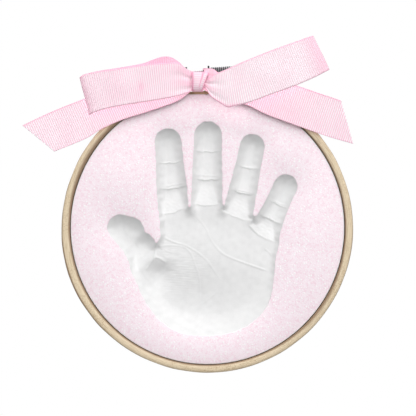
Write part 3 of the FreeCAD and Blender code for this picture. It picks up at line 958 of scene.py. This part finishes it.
def fillBetween(outer, inner):
    # flat triangles between two closed outlines, given as points across and up
    points = np.vstack([outer, inner])
    edges = closedLoop(len(outer)) + [(a + len(outer), b + len(outer)) for a, b in closedLoop(len(inner))]
    made = delaunay_2d_cdt([Vector(p) for p in points.tolist()], edges, [], 0, 1e-7)
    flat = np.array([tuple(v) for v in made[0]])
    triangles = np.array([list(f) for f in made[2]])
    middles = flat[triangles].mean(1)
    keep = insidePolygon(middles[:, 0], middles[:, 1], inner) < 0
    keep &= insidePolygon(middles[:, 0], middles[:, 1], outer) > 0
    origin = [ids[0] if ids else -1 for ids in made[3]]
    return np.array(origin)[triangles[keep]]


def rimOutline(radius, flatTop, inset):
    # the coat's round outer edge with its straight top, as points across and up
    limit = math.acos((flatTop - inset) / (radius - inset))
    turns = np.linspace(limit, 2 * math.pi - limit, coat["rimPoints"])
    arc = np.column_stack([np.sin(turns), np.cos(turns)]) * (radius - inset)
    top = np.linspace(arc[-1], arc[0], coat["topPoints"])[1:-1]
    return np.vstack([arc, top])


def makeCoat():
    outline = traceOutline()
    place, inward = outline[:, :2], outline[:, 2:]
    front, back, lip = coat["front"], coat["back"], coat["lip"]
    # both edges from front to back: how far from the edge, and how far in front of the wall
    outerSteps = ((lip, front), (0.35 * lip, front - 0.12), (0.0, front - 0.35), (0.0, back))
    innerSteps = ((lip, front), (0.45 * lip, front - 0.07), (0.08, front - 0.22))
    innerSteps += ((0.0, front - 0.40), (0.0, back - 0.15))
    outerLoops = [rimOutline(coat["radius"], coat["flatTop"], inset) for inset, _ in outerSteps]
    innerLoops = [place - inward * offset for offset, _ in innerSteps]
    points, faces, kinds = [], [], []
    for loop, (_, depth) in zip(outerLoops + innerLoops, outerSteps + innerSteps):
        points.append(np.column_stack([loop[:, 0], np.full(len(loop), -depth), loop[:, 1]]))
    nOuter, nInner = len(outerLoops[0]), len(innerLoops[0])
    innerStart = nOuter * len(outerSteps)
    glitterKind, clayKind = 0, 1

    def ring(first, second, count, flip, kind):
        for i, j in closedLoop(count):
            face = (first + i, first + j, second + j, second + i)
            faces.append(face[::-1] if flip else face)
            kinds.append(kind)

    for level in range(len(outerSteps) - 1):
        ring(level * nOuter, (level + 1) * nOuter, nOuter, False, clayKind)
    for level in range(len(innerSteps) - 1):
        start = innerStart + level * nInner
        ring(start, start + nInner, nInner, True, glitterKind if level < 2 else clayKind)

    def lid(outerStart, innerLoopStart, outerLoop, innerLoop, flip):
        for a, b, c in fillBetween(outerLoop, innerLoop).tolist():
            ids = [i + outerStart if i < nOuter else i - nOuter + innerLoopStart for i in (a, b, c)]
            faces.append(ids[::-1] if flip else ids)
            kinds.append(glitterKind)

    lid(0, innerStart, outerLoops[0], innerLoops[0], False)
    lastOuter = (len(outerSteps) - 1) * nOuter
    lastInner = innerStart + (len(innerSteps) - 1) * nInner
    lid(lastOuter, lastInner, outerLoops[-1], innerLoops[-1], True)
    piece = addPiece("glitterCoat", np.vstack(points), faces, [glitter, clay], kinds)
    turnOutwards(piece)
    return piece


def boundaryLoop(faces):
    # the single closed run of edges that only one face uses
    edges = np.vstack([faces[:, [i, (i + 1) % 4]] for i in range(4)])
    ordered = np.sort(edges, 1)
    _, first, counts = np.unique(ordered, axis=0, return_index=True, return_counts=True)
    following = {int(a): int(b) for a, b in edges[first[counts == 1]]}
    start = max(following)
    loop, here = [start], following[start]
    while here != start:
        loop.append(here)
        here = following[here]
    return loop


def makeTile():
    # a height field inside the hand, whose nearest points are moved onto the hand's edge
    spacing = tile["spacing"]
    gridX, gridZ = np.meshgrid(np.arange(*tile["across"], spacing), np.arange(*tile["up"], spacing))
    inside = insideHand(gridX, gridZ)
    slopeZ, slopeX = np.gradient(inside, spacing)
    near = np.abs(inside) < 0.5 * spacing
    steep = np.maximum(slopeX ** 2 + slopeZ ** 2, 0.25)
    shiftX, shiftZ = [np.where(near, -inside * slope / steep, 0) for slope in (slopeX, slopeZ)]
    gridX, gridZ = gridX + shiftX, gridZ + shiftZ
    inside = np.where(near, 0, inside)
    depth = np.where(inside > 0, printDepth(gridX, gridZ, inside), coat["front"] - coat["back"])
    index = np.arange(gridX.size).reshape(gridX.shape)
    wanted = (inside > -tile["under"]) & (np.hypot(gridX, gridZ) < tile["radius"] - tile["rimGap"])
    cell = wanted[:-1, :-1] & wanted[1:, :-1] & wanted[1:, 1:] & wanted[:-1, 1:]
    corners = np.stack([index[:-1, :-1], index[:-1, 1:], index[1:, 1:], index[1:, :-1]], -1)[cell]
    used, packed = np.unique(corners, return_inverse=True)
    patch = packed.reshape(corners.shape)
    y = depth.ravel() - coat["front"] + tile["behindCoat"]
    points = np.column_stack([gridX.ravel(), y, gridZ.ravel()])[used]
    # from the height field's edge a flat face runs out to the round rim, and behind it lies the flat back
    loop = boundaryLoop(patch)
    count, rimStart = tile["rimPoints"], len(points)
    turns = np.linspace(0, 2 * math.pi, count, endpoint=False)
    circle = np.column_stack([np.sin(turns), np.cos(turns)]) * tile["radius"]
    rim = np.column_stack([circle[:, 0], np.full(count, -coat["back"] + tile["behindCoat"]), circle[:, 1]])
    backRim = rim.copy()
    backRim[:, 1] = -tile["back"]
    faces = patch.tolist()
    for triangle in fillBetween(circle, points[loop][:, [0, 2]]).tolist():
        faces.append([rimStart + i if i < count else loop[i - count] for i in triangle])
    for i, j in closedLoop(count):
        faces.append([rimStart + i, rimStart + j, rimStart + count + j, rimStart + count + i])
    faces.append([rimStart + count + i for i in range(count)])
    piece = addPiece("clayTile", np.vstack([points, rim, backRim]), faces, [clay])
    turnOutwards(piece)
    return piece


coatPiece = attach(makeCoat(), "print_panel")
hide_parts("glitter_coat")
print("coat made:", len(coatPiece.data.vertices), "points")
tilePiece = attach(makeTile(), "print_panel")
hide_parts("clay_tile")
print("tile made:", len(tilePiece.data.polygons), "faces")

# The split outer hoop. Its bulges, and the places where the painted shade on its inner edge is wider: where
# round the hoop, how much, and over what spread, in degrees from the right
hoop = {
    "radius": 64.75,
    "bore": 61.25,
    "depth": 10.0,
    "opening": 9.0,
    "turnDeg": -3.65,
    "frontRound": 1.55,
    "frontPower": 0.8,
    "backRound": 0.5,
    "bulges": ((200, 0.75, 24), (350, 0.25, 15), (145, 0.12, 15), (230, 0.15, 15)),
    "uneven": 0.06,
    "unevenRadius": 64.0,
    "unevenSize": 7.0,
    # painted shade on the edges: its least width, where round the hoop it is wider, and how dark it is
    # inside, outside and at most
    "edgeShadeWidth": 0.16,
    "darker": ((147, 0.30, 24), (325, 0.22, 20), (200, 0.03, 30)),
    "innerEdgeShade": 0.85,
    "outerEdgeShade": 0.75,
    "mostEdgeShade": 0.9,
    "grainRadius": 63.0,
    "stations": 900,
}


def hoopSection():
    # the section from the outer back edge, over the rounded front, to the inner back edge: out and forward
    radius, bore, depth = hoop["radius"], hoop["bore"], hoop["depth"]
    r, b, power = hoop["frontRound"], hoop["backRound"], hoop["frontPower"]
    middle, half = (radius + bore) / 2, (radius - bore) / 2
    section = [(radius - b, 0.0), (radius - 0.3 * b, 0.3 * b), (radius, b)]
    section += [(radius, y) for y in np.linspace(b, depth - r, 7)[1:-1]]
    for angle in np.linspace(0, math.pi, 19):
        out = math.copysign(abs(math.cos(angle)) ** power, math.cos(angle))
        section.append((middle + half * out, depth - r + r * math.sin(angle) ** power))
    section += [(bore, y) for y in np.linspace(depth - r, b, 7)[1:-1]]
    section += [(bore, b), (bore + 0.3 * b, 0.3 * b), (bore + b, 0.0)]
    section += [(middle, 0.0)]
    return np.array(section)


def roundHoop(degrees, forms, start=0.0):
    total = start + np.zeros(len(degrees))
    for at, amount, spread in forms:
        gap = (degrees - at + 180) % 360 - 180
        total = total + amount * bell(gap / spread)
    return total


def makeHoop():
    half = math.asin(hoop["opening"] / 2 / hoop["radius"])
    turns = np.linspace(half, 2 * math.pi - half, hoop["stations"]) + math.radians(hoop["turnDeg"])
    degrees = np.degrees(math.pi / 2 - turns)
    section = hoopSection()
    count, wall = len(section), hoop["radius"] - hoop["bore"]
    push = roundHoop(degrees, hoop["bulges"])
    uneven = hoop["uneven"] * ripple(turns * hoop["unevenRadius"], 0 * turns, hoop["unevenSize"], 31)
    share = (section[:, 0] - hoop["bore"]) / wall
    out = section[:, 0][None, :] + (push + uneven)[:, None] * share[None, :]
    x, z = out * np.sin(turns)[:, None], out * np.cos(turns)[:, None]
    y = np.broadcast_to(-section[:, 1][None, :], x.shape)
    faces = gridFaces(len(turns), count, closeColumns=True)
    faces.append(list(range(count)))
    faces.append([(len(turns) - 1) * count + i for i in range(count)][::-1])
    piece = addPiece("outerHoop", np.stack([x, y, z], -1).reshape(-1, 3), faces, [wood])
    turnOutwards(piece)
    # painted shade on the inner edge, and a narrow band of it on the outer edge
    share = (out - hoop["bore"]) / wall
    wide = roundHoop(degrees, hoop["darker"], hoop["edgeShadeWidth"])[:, None]
    inner = 1 - smoothStep(wide * 0.35, wide * 1.5, share)
    outer = smoothStep(0.93, 1.02, share)
    dark = hoop["innerEdgeShade"] * inner + hoop["outerEdgeShade"] * outer
    addValues(piece, "edge", np.clip(dark, 0, hoop["mostEdgeShade"]))
    addValues(piece, "around", np.broadcast_to((turns * hoop["grainRadius"])[:, None], x.shape))
    addValues(piece, "across", np.broadcast_to(pathLengths(section)[None, :], x.shape))
    return piece


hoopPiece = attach(makeHoop(), "outer_frame")
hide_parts("outer_hoop")
print("hoop made")

# The bow. Edges: across and down in front view, and millimetres in front of the wall
bow = {
    "width": 16.2,
    "thickness": 0.22,
    "bandThickness": 0.12,
    "wrapThickness": 0.09,
    "ribHeight": 0.05,
    "knotRibHeight": 0.03,
    "knotRibShadeShare": 0.7,
    "foldInset": 0.25,
    "foldRound": 0.1,
    # folds near the knot: height, how many across, and shift
    "gathers": ((0.27, 2.2, 0.15), (0.10, 4.3, 0.4)),
    "gatherReach": 0.17,
    "shadeReach": 0.13,
    "tailGather": (0.3, 2.1, 0.3),
    "tailReach": 0.2,
    "slack": 0.16,
    # dark pink on the loops and tails: a little of the ribbon's own tone, painted shade in the loops' folds,
    # and painted shadow on the tails under the loops
    "loopDeep": 0.02,
    "foldShade": 0.42,
    "tailDeep": 0.05,
    "underLoopShadow": 0.22,
}
loops = {
    "loopLeft": {
        "upper": (
            (194.5, 71.8, 13.2), (189.6, 70.6, 13.8), (183.6, 66.7, 14.9), (177.4, 63.0, 15.7),
            (160, 63.4, 16.3), (143.9, 64.8, 16.4), (117.1, 68.8, 16.2), (98, 71.2, 15.7),
            (84.5, 74.2, 15.2), (79.8, 77.6, 13.9), (85, 74.6, 12.8), (98, 71.0, 12.5), (117, 68.0, 12.3),
            (141.9, 63.6, 12.2), (155, 58.8, 12.3), (163.3, 56.6, 12.6), (171.2, 57.2, 12.8),
            (178.7, 61.8, 12.9), (186.2, 68.9, 12.9), (195, 73.0, 12.8),
        ),
        "lower": (
            (194.5, 89.6, 13.2), (190, 91.8, 13.8), (184.5, 93.8, 14.6), (177.5, 96.0, 15.4),
            (163, 98.8, 16.0), (149.0, 101.2, 16.3), (123.5, 105.2, 16.2), (105.5, 108.8, 15.8),
            (94, 112.4, 15.2), (89.2, 115.0, 13.9), (94, 112.0, 12.8), (105, 108.2, 12.5),
            (123, 104.4, 12.3), (148, 100, 12.2), (160, 97, 12.3), (167, 95, 12.5), (174, 93.6, 12.7),
            (180, 92.0, 12.8), (187, 90.4, 12.8), (195, 88.6, 12.8),
        ),
        "side": -1,
        "foldShadeWidth": 0.022,
        "moreDeep": 0.15,
        "dimpleShade": {"middle": (141.5, 87.5), "reach": (1.2, 2.4), "deep": 0.3},
        "ribTone": 0.72,
        "replaces": "ribbon_loop_left",
    },
    "loopRight": {
        "upper": (
            (204, 80.8, 13.0), (207.3, 79.7, 13.6), (212.5, 76.2, 14.4), (218.8, 72.4, 15.2),
            (223.6, 70.4, 15.7), (228, 68.4, 15.9), (240.6, 62.7, 16.4), (258, 55.5, 16.6),
            (276.9, 48.2, 16.3), (296, 41.4, 15.8), (308.5, 37.0, 15.2), (313.0, 35.8, 13.9),
            (308.5, 37.6, 12.8), (296, 42.2, 12.5), (277, 49.2, 12.3), (258, 56.6, 12.2), (241, 63.8, 12.3),
            (228, 68.6, 12.5), (219, 72.4, 12.8), (214, 69.4, 13.0), (209.5, 68.4, 13.0), (204, 69.6, 12.8),
        ),
        "lower": (
            (204, 86.0, 13.0), (206.6, 89.6, 13.5), (211.6, 97.0, 14.3), (220.6, 103.2, 15.1),
            (227.4, 107.2, 15.6), (233.6, 106.2, 15.9), (250, 102.2, 16.3), (273.5, 93.6, 16.4),
            (292.5, 86.8, 16.2), (312, 78.6, 15.7), (325, 72.0, 15.2), (329.4, 69.8, 13.9),
            (325, 71.6, 12.8), (311, 77.6, 12.5), (292, 85.8, 12.3), (272, 92.8, 12.2), (252, 99.6, 12.3),
            (238, 101.4, 12.4), (225, 98.4, 12.5), (215, 92.6, 12.7), (209, 87.0, 12.8), (204, 84.6, 12.8),
        ),
        "side": 1,
        "foldShadeWidth": 0.048,
        "moreDeep": 0.0,
        "turnedEdgeShade": 0.5,
        "ribTone": 0.55,
        "replaces": "ribbon_loop_right",
    },
}
tails = {
    "tailLeft": {
        "upper": (
            (197, 78, 11.4), (190, 76, 11.3), (170, 73.5, 11.2), (140, 80, 11.2), (110, 89, 11.2),
            (83.7, 98.8, 11.3), (50.2, 112.3, 11.6), (22.4, 125.4, 12.2),
        ),
        "lower": (
            (197, 86, 11.4), (190, 92, 11.3), (176, 101.6, 11.2), (147, 112.0, 11.2), (124.7, 118.9, 11.2),
            (102.4, 128.6, 11.3), (85, 139, 11.5), (54.4, 151.5, 12.0),
        ),
        "way": (-0.9135, -0.4067),
        "ribTone": 1.0,
        "replaces": "ribbon_tail_left",
    },
    "tailRight": {
        "upper": (
            (200, 80, 11.4), (206, 79.6, 11.3), (231, 74, 11.2), (258, 74.6, 11.2), (279, 80, 11.2),
            (298.1, 85.9, 11.3), (320, 93.4, 11.6), (341, 100.4, 12.0),
        ),
        "lower": (
            (200, 88, 11.4), (206, 91, 11.3), (226, 99.6, 11.2), (247.9, 105.5, 11.2), (266, 114.2, 11.2),
            (301, 127.2, 11.3), (328, 136.6, 11.6), (353.3, 143.9, 12.0),
        ),
        "way": (0.9466, -0.3225),
        "ribTone": 0.9,
        "replaces": "ribbon_tail_right",
    },
}


def frontPoints(edge):
    # the steps of the front view hold at the hoop's front; nearer points are drawn in towards its middle
    edge = np.array(edge, float)
    closer = (view["eye"] - edge[:, 2]) / (view["eye"] - view["front"])
    x = view["aimX"] + (frontX(edge[:, 0]) - view["aimX"]) * closer
    z = view["aimZ"] + (frontZ(edge[:, 1]) - view["aimZ"]) * closer
    return np.column_stack([x, -edge[:, 2], z])


def ribbonFlow(upper, lower, samples):
    # two edges, paired point by point, as even runs of points with enough of them for the ribs
    pairs = np.hstack([upper, lower])
    length = np.linalg.norm(np.diff(smoothLine(pairs, 600), axis=0), axis=1).sum() / math.sqrt(2)
    run = smoothLine(pairs, int(length / ribbonLook["ribPitch"] * samples))
    return run[:, :3], run[:, 3:], length


def surfaceNormal(points):
    cross = np.cross(np.gradient(points, axis=0), np.gradient(points, axis=1))
    return cross / np.maximum(np.linalg.norm(cross, axis=-1, keepdims=True), 1e-9)


def ribWave(along):
    return np.cos(2 * math.pi * along / ribbonLook["ribPitch"])


def foldWave(v, folds, shift):
    return np.cos(2 * math.pi * (folds * v + shift))


def addRibbon(name, points, thickness, **values):
    # a sheet with what the ribbon's material reads: along, across, deep (its share of dark pink, partly its
    # own tone and partly painted shade) and the share of painted shade in its rib grooves
    piece = addPiece(name, points.reshape(-1, 3), gridFaces(*points.shape[:2]), [ribbon])
    for label, value in values.items():
        addValues(piece, label, np.broadcast_to(value, points.shape[:2]))
    solid = piece.modifiers.new("thickness", "SOLIDIFY")
    solid.thickness = thickness * mm
    solid.offset = 0
    return piece


def finishRibbon(piece, node):
    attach(piece, "outer_frame")
    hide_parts(node)


def layRibbon(name, strip, relief, deep, rows, samples):
    # a ribbed strip between two edges, which relief lifts off the plain surface. Its ribs run from edge to
    # edge, or square to the strip's way
    top, bottom, length = ribbonFlow(frontPoints(strip["upper"]), frontPoints(strip["lower"]), samples)
    u, v = np.meshgrid(np.linspace(0, 1, len(top)), np.linspace(0, 1, rows), indexing="ij")
    base = top[:, None, :] * (1 - v)[..., None] + bottom[:, None, :] * v[..., None]
    base = base + surfaceNormal(base) * relief(u, v, base)[..., None]
    along = u * length
    if "way" in strip:
        along = base[..., 0] * strip["way"][0] + base[..., 2] * strip["way"][1]
    ribs = bow["ribHeight"] * ribWave(along) * smoothStep(0, 0.03, np.minimum(v, 1 - v))
    points = base - surfaceNormal(base) * ribs[..., None]
    values = {"along": along, "across": v, "deep": np.clip(deep(u, v, base), 0, 1)}
    piece = addRibbon(name, points, bow["thickness"], **values, ribTone=strip["ribTone"])
    finishRibbon(piece, strip["replaces"])
    return length


def makeLoop(name, loop):
    side = loop["side"]

    def relief(u, v, base):
        # gathers that die away from the knot, at both ends of the loop
        near = np.clip(1 - u / bow["gatherReach"], 0, 1) ** 1.6
        behind = np.clip(1 - (1 - u) / bow["gatherReach"], 0, 1) ** 1.6
        gathers = sum(height * foldWave(v, folds, shift) for height, folds, shift in bow["gathers"])
        slack = bow["slack"] * ripple(base[..., 0], base[..., 2], 9.0, 41 + side) * np.sin(math.pi * u) ** 0.5
        return side * (gathers * near - 0.5 * gathers * behind) + slack

    def deep(u, v, base):
        # painted shade: darker pink in the gathers' valleys near the knot, at the loop's far fold, on its
        # back layer, in a dimple and on a turned edge, over the ribbon's own tone
        near = np.clip(1 - u / bow["shadeReach"], 0, 1)
        valleyShade = 0.5 - 0.5 * foldWave(v, *bow["gathers"][0][1:])
        farFoldShade = bell((u - 0.5) / loop["foldShadeWidth"])
        back = smoothStep(0.5, 0.52, u)
        deeper = bow["foldShade"]
        tone = bow["loopDeep"] + deeper * near * valleyShade + deeper * farFoldShade + deeper * back + loop["moreDeep"]
        if "dimpleShade" in loop:
            spot = loop["dimpleShade"]
            there = bell(*fromPlace(base[..., 0], base[..., 2], spot["middle"], *spot["reach"]))
            tone = tone + spot["deep"] * there * (1 - back)
        if "turnedEdgeShade" in loop:
            # painted shade on the narrow turned edge at the lower left
            along = smoothStep(0.90, 0.97, v) * (1 - smoothStep(0.10, 0.20, u))
            tone = tone + loop["turnedEdgeShade"] * along * (1 - back)
        return tone + 0.06 * ripple(base[..., 0], base[..., 2], 6.0, 51)

    return layRibbon(name, loop, relief, deep, rows=26, samples=6)


def makeTail(name, tail):
    def relief(u, v, base):
        height, folds, shift = bow["tailGather"]
        return height * foldWave(v, folds, shift) * np.clip(1 - u / bow["tailReach"], 0, 1) ** 1.5

    def deep(u, v, base):
        # painted shadow: darker where the loop lies close in front
        under = bow["underLoopShadow"] * (1 - smoothStep(0.30, 0.85, u))
        return bow["tailDeep"] + under + 0.05 * ripple(base[..., 0], base[..., 2], 7.0, 61)

    return layRibbon(name, tail, relief, deep, rows=70, samples=5)


ribbonLengths = {}
for loopName, loop in loops.items():
    ribbonLengths[loopName] = makeLoop(loopName, loop)
for tailName, tail in tails.items():
    ribbonLengths[tailName] = makeTail(tailName, tail)
print("ribbon lengths in millimetres:", {k: round(v, 1) for k, v in ribbonLengths.items()})

# Pleated bands: the ribbon folded to and fro across its width, round the knot and over the screw
knot = {
    "halfHeight": 4.35,
    "halfDepth": 2.75,
    "turn": 0.62,
    "crown": 0.35,
    "pinch": 0.16,
    "deep": 0.24,
    # painted shade on the hidden layers and at the band's ends
    "hiddenPleatShade": 0.5,
    "bandEndShade": 0.35,
    "replaces": "ribbon_knot",
}
bands = {
    "knotBand": {
        **knot,
        "middle": (-4.5, -13.1, 64.75),
        "width": 5.1,
        "layers": 3,
        "gap": 0.30,
        "leanDeg": 0.0,
        "power": 0.8,
        "pleatSideShade": 0.25,
    },
    "knotFold": {
        **knot,
        "middle": (-2.15, -13.45, 64.8),
        "width": 2.5,
        "layers": 6,
        "gap": 0.18,
        "leanDeg": 20.0,
        "power": 0.85,
        "pleatSideShade": 0.75,
    },
}


def pleat(width, layers, gap, count):
    # the folded section: across, and behind the front layer
    stops = []
    for i in range(layers):
        x0, x1 = (-width / 2, width / 2) if i % 2 == 0 else (width / 2, -width / 2)
        inset = bow["foldInset"] * math.copysign(1, x1 - x0)
        stops += [(x0 + inset, i * gap), (x1 - inset, i * gap)]
        if i < layers - 1:
            stops.append((x1 + bow["foldRound"] * math.copysign(1, x1), (i + 0.5) * gap))
    return smoothLine(stops, count)


def makeBand(name, band):
    section = pleat(band["width"], band["layers"], band["gap"], 20 * band["layers"])
    across, behind = section[:, 0][None, :], section[:, 1][None, :]
    side = 2 * section[:, 0] / band["width"]
    limit = band["turn"] * math.pi
    turns = np.linspace(limit, -limit, 141)[:, None]
    reach, rise = [np.sign(wave) * np.abs(wave) ** band["power"] for wave in (np.cos(turns), np.sin(turns))]
    crown = band["crown"] * (1 - side ** 2)[None, :]
    x = across * (1 - band["pinch"] * np.abs(np.cos(turns)))
    y = -(band["halfDepth"] - behind + crown) * reach
    z = (band["halfHeight"] - behind) * rise
    lean = math.radians(band["leanDeg"])
    middleX, middleY, middleZ = band["middle"]
    leaningX = middleX + x * math.cos(lean) + z * math.sin(lean)
    leaningZ = middleZ + z * math.cos(lean) - x * math.sin(lean)
    points = np.stack([leaningX, middleY + y, leaningZ], -1)
    # its length is that of the front layer
    along = pathLengths(points[:, 10])
    ribs = bow["knotRibHeight"] * ribWave(along)
    points = points + surfaceNormal(points) * ribs[:, None, None]
    # painted shade on the hidden layers, at the band's ends where it turns back, and along its folded sides,
    # over a base of deeper pink
    deep = band["deep"] + band["hiddenPleatShade"] * smoothStep(0.1, 0.4, behind)
    deep = deep + band["bandEndShade"] * smoothStep(0.72, 1.0, np.abs(np.sin(turns)))
    deep = deep + band["pleatSideShade"] * smoothStep(0.62, 1.0, np.abs(side))[None, :]
    values = {
        "along": along[:, None],
        "across": np.linspace(0, 1, len(section))[None, :],
        "deep": np.clip(deep, 0, 1),
        "ribTone": bow["knotRibShadeShare"],
    }
    finishRibbon(addRibbon(name, points, bow["bandThickness"], **values), band["replaces"])


# The turn over the screw
screwTurn = {
    "axisY": -5.0,
    "axisZ": 68.6,
    "radius": 2.05,
    "front": -11.8,
    "spread": 0.3,
    "middleSpread": 0.05,
    "width": 1.9,
    "middleX": -1.05,
    "layers": 7,
    "gap": 0.13,
    "deep": 0.5,
}


def makeWrap():
    # back from the knot, down behind the shank, and forward under it
    axisY, axisZ, radius, front = [screwTurn[key] for key in ("axisY", "axisZ", "radius", "front")]
    turns = np.linspace(math.pi / 2, 3 * math.pi / 2, 41)
    arc = np.column_stack([axisY - radius * np.cos(turns), axisZ + radius * np.sin(turns)])
    top, bottom, halfway = arc[0, 1], arc[-1, 1], (front + axisY) / 2
    spread, middleSpread = screwTurn["spread"], screwTurn["middleSpread"]
    start = [(front, top - spread), (halfway, top - middleSpread)]
    end = [(halfway, bottom + middleSpread), (front, bottom + spread)]
    path = smoothLine(np.vstack([start, arc[::4], end]), 130)
    tangent = np.gradient(path, axis=0)
    tangent = tangent / np.linalg.norm(tangent, axis=1, keepdims=True)
    section = pleat(screwTurn["width"], screwTurn["layers"], screwTurn["gap"], 90)
    lift = screwTurn["gap"] * (screwTurn["layers"] - 1) / 2 - section[:, 1][None, :]
    y = path[:, 0][:, None] - tangent[:, 1][:, None] * lift
    z = path[:, 1][:, None] + tangent[:, 0][:, None] * lift
    x = np.broadcast_to(screwTurn["middleX"] + section[:, 0][None, :], y.shape)
    along = pathLengths(path)
    values = {
        "along": along[:, None],
        "across": np.linspace(0, 1, len(section))[None, :],
        "deep": screwTurn["deep"],
        "ribTone": bow["knotRibShadeShare"],
    }
    piece = addRibbon("screwWrap", np.stack([x, y, z], -1), bow["wrapThickness"], **values)
    finishRibbon(piece, "ribbon_wrap")


for bandName, band in bands.items():
    makeBand(bandName, band)
makeWrap()
print("knot and wrap made")

# Stage: camera straight in front, a wide soft lamp from above, a weaker one in front and one for the back, a
# pale floor and white surroundings
stage = {
    "fieldWidth": 0.1852,
    "lamps": {
        "keyLamp": {"way": (0.15, -0.73, 0.67), "distance": 4.0, "size": 7.0, "power": 215.0},
        "frontLamp": {"way": (0.0, -1.0, 0.10), "distance": 3.0, "size": 2.4, "power": 9.0},
        "backLamp": {"way": (-0.25, 0.85, 0.45), "distance": 4.0, "size": 4.0, "power": 120.0},
    },
    "softOver": ("keyLamp",),
    "ambient": 0.35,
    "floorHeight": -0.12,
    "floorCorners": ((-3.0, -3.0), (3.0, -3.0), (3.0, 0.3), (-3.0, 0.3)),
    "floor": {
        "colour": shade(246, 246, 246),
        "cloud": shade(238, 238, 238),
        "thrown": shade(150, 150, 150),  # what it throws back at the object
        "roughness": 0.9,
        "cloudScale": 0.02,
        "cloudShare": 0.15,
        "fade": (110.0, 285.0),
    },
}
black, white = (0, 0, 0, 1), (1, 1, 1, 1)


def seenDirectly(tree):
    # 1 where the camera, a reflection or glass sees it
    paths = addNode(tree, "ShaderNodeLightPath").outputs
    seen = maths(tree, "MAXIMUM", paths["Is Camera Ray"], paths["Is Glossy Ray"])
    return maths(tree, "MAXIMUM", seen, paths["Is Transmission Ray"])


def makeStage():
    camera = bpy.data.objects.new("camera", bpy.data.cameras.new("camera"))
    bpy.context.scene.collection.objects.link(camera)
    camera.location = (view["aimX"] * mm, -view["eye"] * mm, view["aimZ"] * mm)
    camera.rotation_euler = (math.pi / 2, 0, 0)
    camera.data.sensor_width = view["imageSensor"]
    reach = (view["eye"] - view["front"]) * mm
    camera.data.lens = view["imageSensor"] * reach / stage["fieldWidth"]
    camera.data.clip_start, camera.data.clip_end = 0.01, 20
    bpy.context.scene.camera = camera

    # the bow is lit so evenly in the photograph that its loops throw no shadow from above
    loopsAside = bpy.data.collections.new("loopsAside")
    for loopName in loops:
        loopsAside.objects.link(bpy.data.objects[loopName])
    for member in loopsAside.collection_objects:
        member.light_linking.link_state = "EXCLUDE"
    for name, look in stage["lamps"].items():
        lamp = bpy.data.objects.new(name, bpy.data.lights.new(name, "AREA"))
        bpy.context.scene.collection.objects.link(lamp)
        way = Vector(look["way"]).normalized()
        lamp.location = way * look["distance"]
        lamp.rotation_euler = way.to_track_quat("Z", "Y").to_euler()
        lamp.data.shape = "DISK"
        lamp.data.size = look["size"]
        lamp.data.energy = look["power"]
        lamp.visible_camera = False
        if name in stage["softOver"]:
            lamp.light_linking.blocker_collection = loopsAside

    floorPoints = [(x / mm, y / mm, stage["floorHeight"] / mm) for x, y in stage["floorCorners"]]
    look = stage["floor"]
    plain = {"Emission Strength": 1.0, "Specular IOR Level": 0.0}
    paper, tree, surface = newMaterial("paleFloor", look, plain)
    cloud = times(tree, noise(tree, millimetres(tree), look["cloudScale"], 3.0), look["cloudShare"])
    seen = seenDirectly(tree)
    floorColour = mixColour(tree, seen, look["thrown"], mixColour(tree, cloud, look["colour"], look["cloud"]))
    # away from the object it fades into the white surroundings, for the camera and reflections only
    place = vectorMaths(tree, "ADD", millimetres(tree), (0, 0, -stage["floorHeight"] / mm))
    far = times(tree, between(tree, vectorMaths(tree, "LENGTH", place, output="Value"), *look["fade"]), seen)
    tree.links.new(mixColour(tree, far, floorColour, black), surface.inputs["Base Color"])
    tree.links.new(mixColour(tree, far, black, white), surface.inputs["Emission Color"])
    floor = addPiece("floor", floorPoints, [(0, 1, 2, 3)], [paper])

    world = bpy.data.worlds.new("surroundings")
    bpy.context.scene.world = world
    world.use_nodes = True
    tree = world.node_tree
    background = tree.nodes["Background"]
    strength = plus(tree, times(tree, seenDirectly(tree), 1.0 - stage["ambient"]), stage["ambient"])
    background.inputs["Color"].default_value = white
    tree.links.new(strength, background.inputs["Strength"])
    bpy.context.scene.view_settings.view_transform = "Standard"


makeStage()
print("stage made")
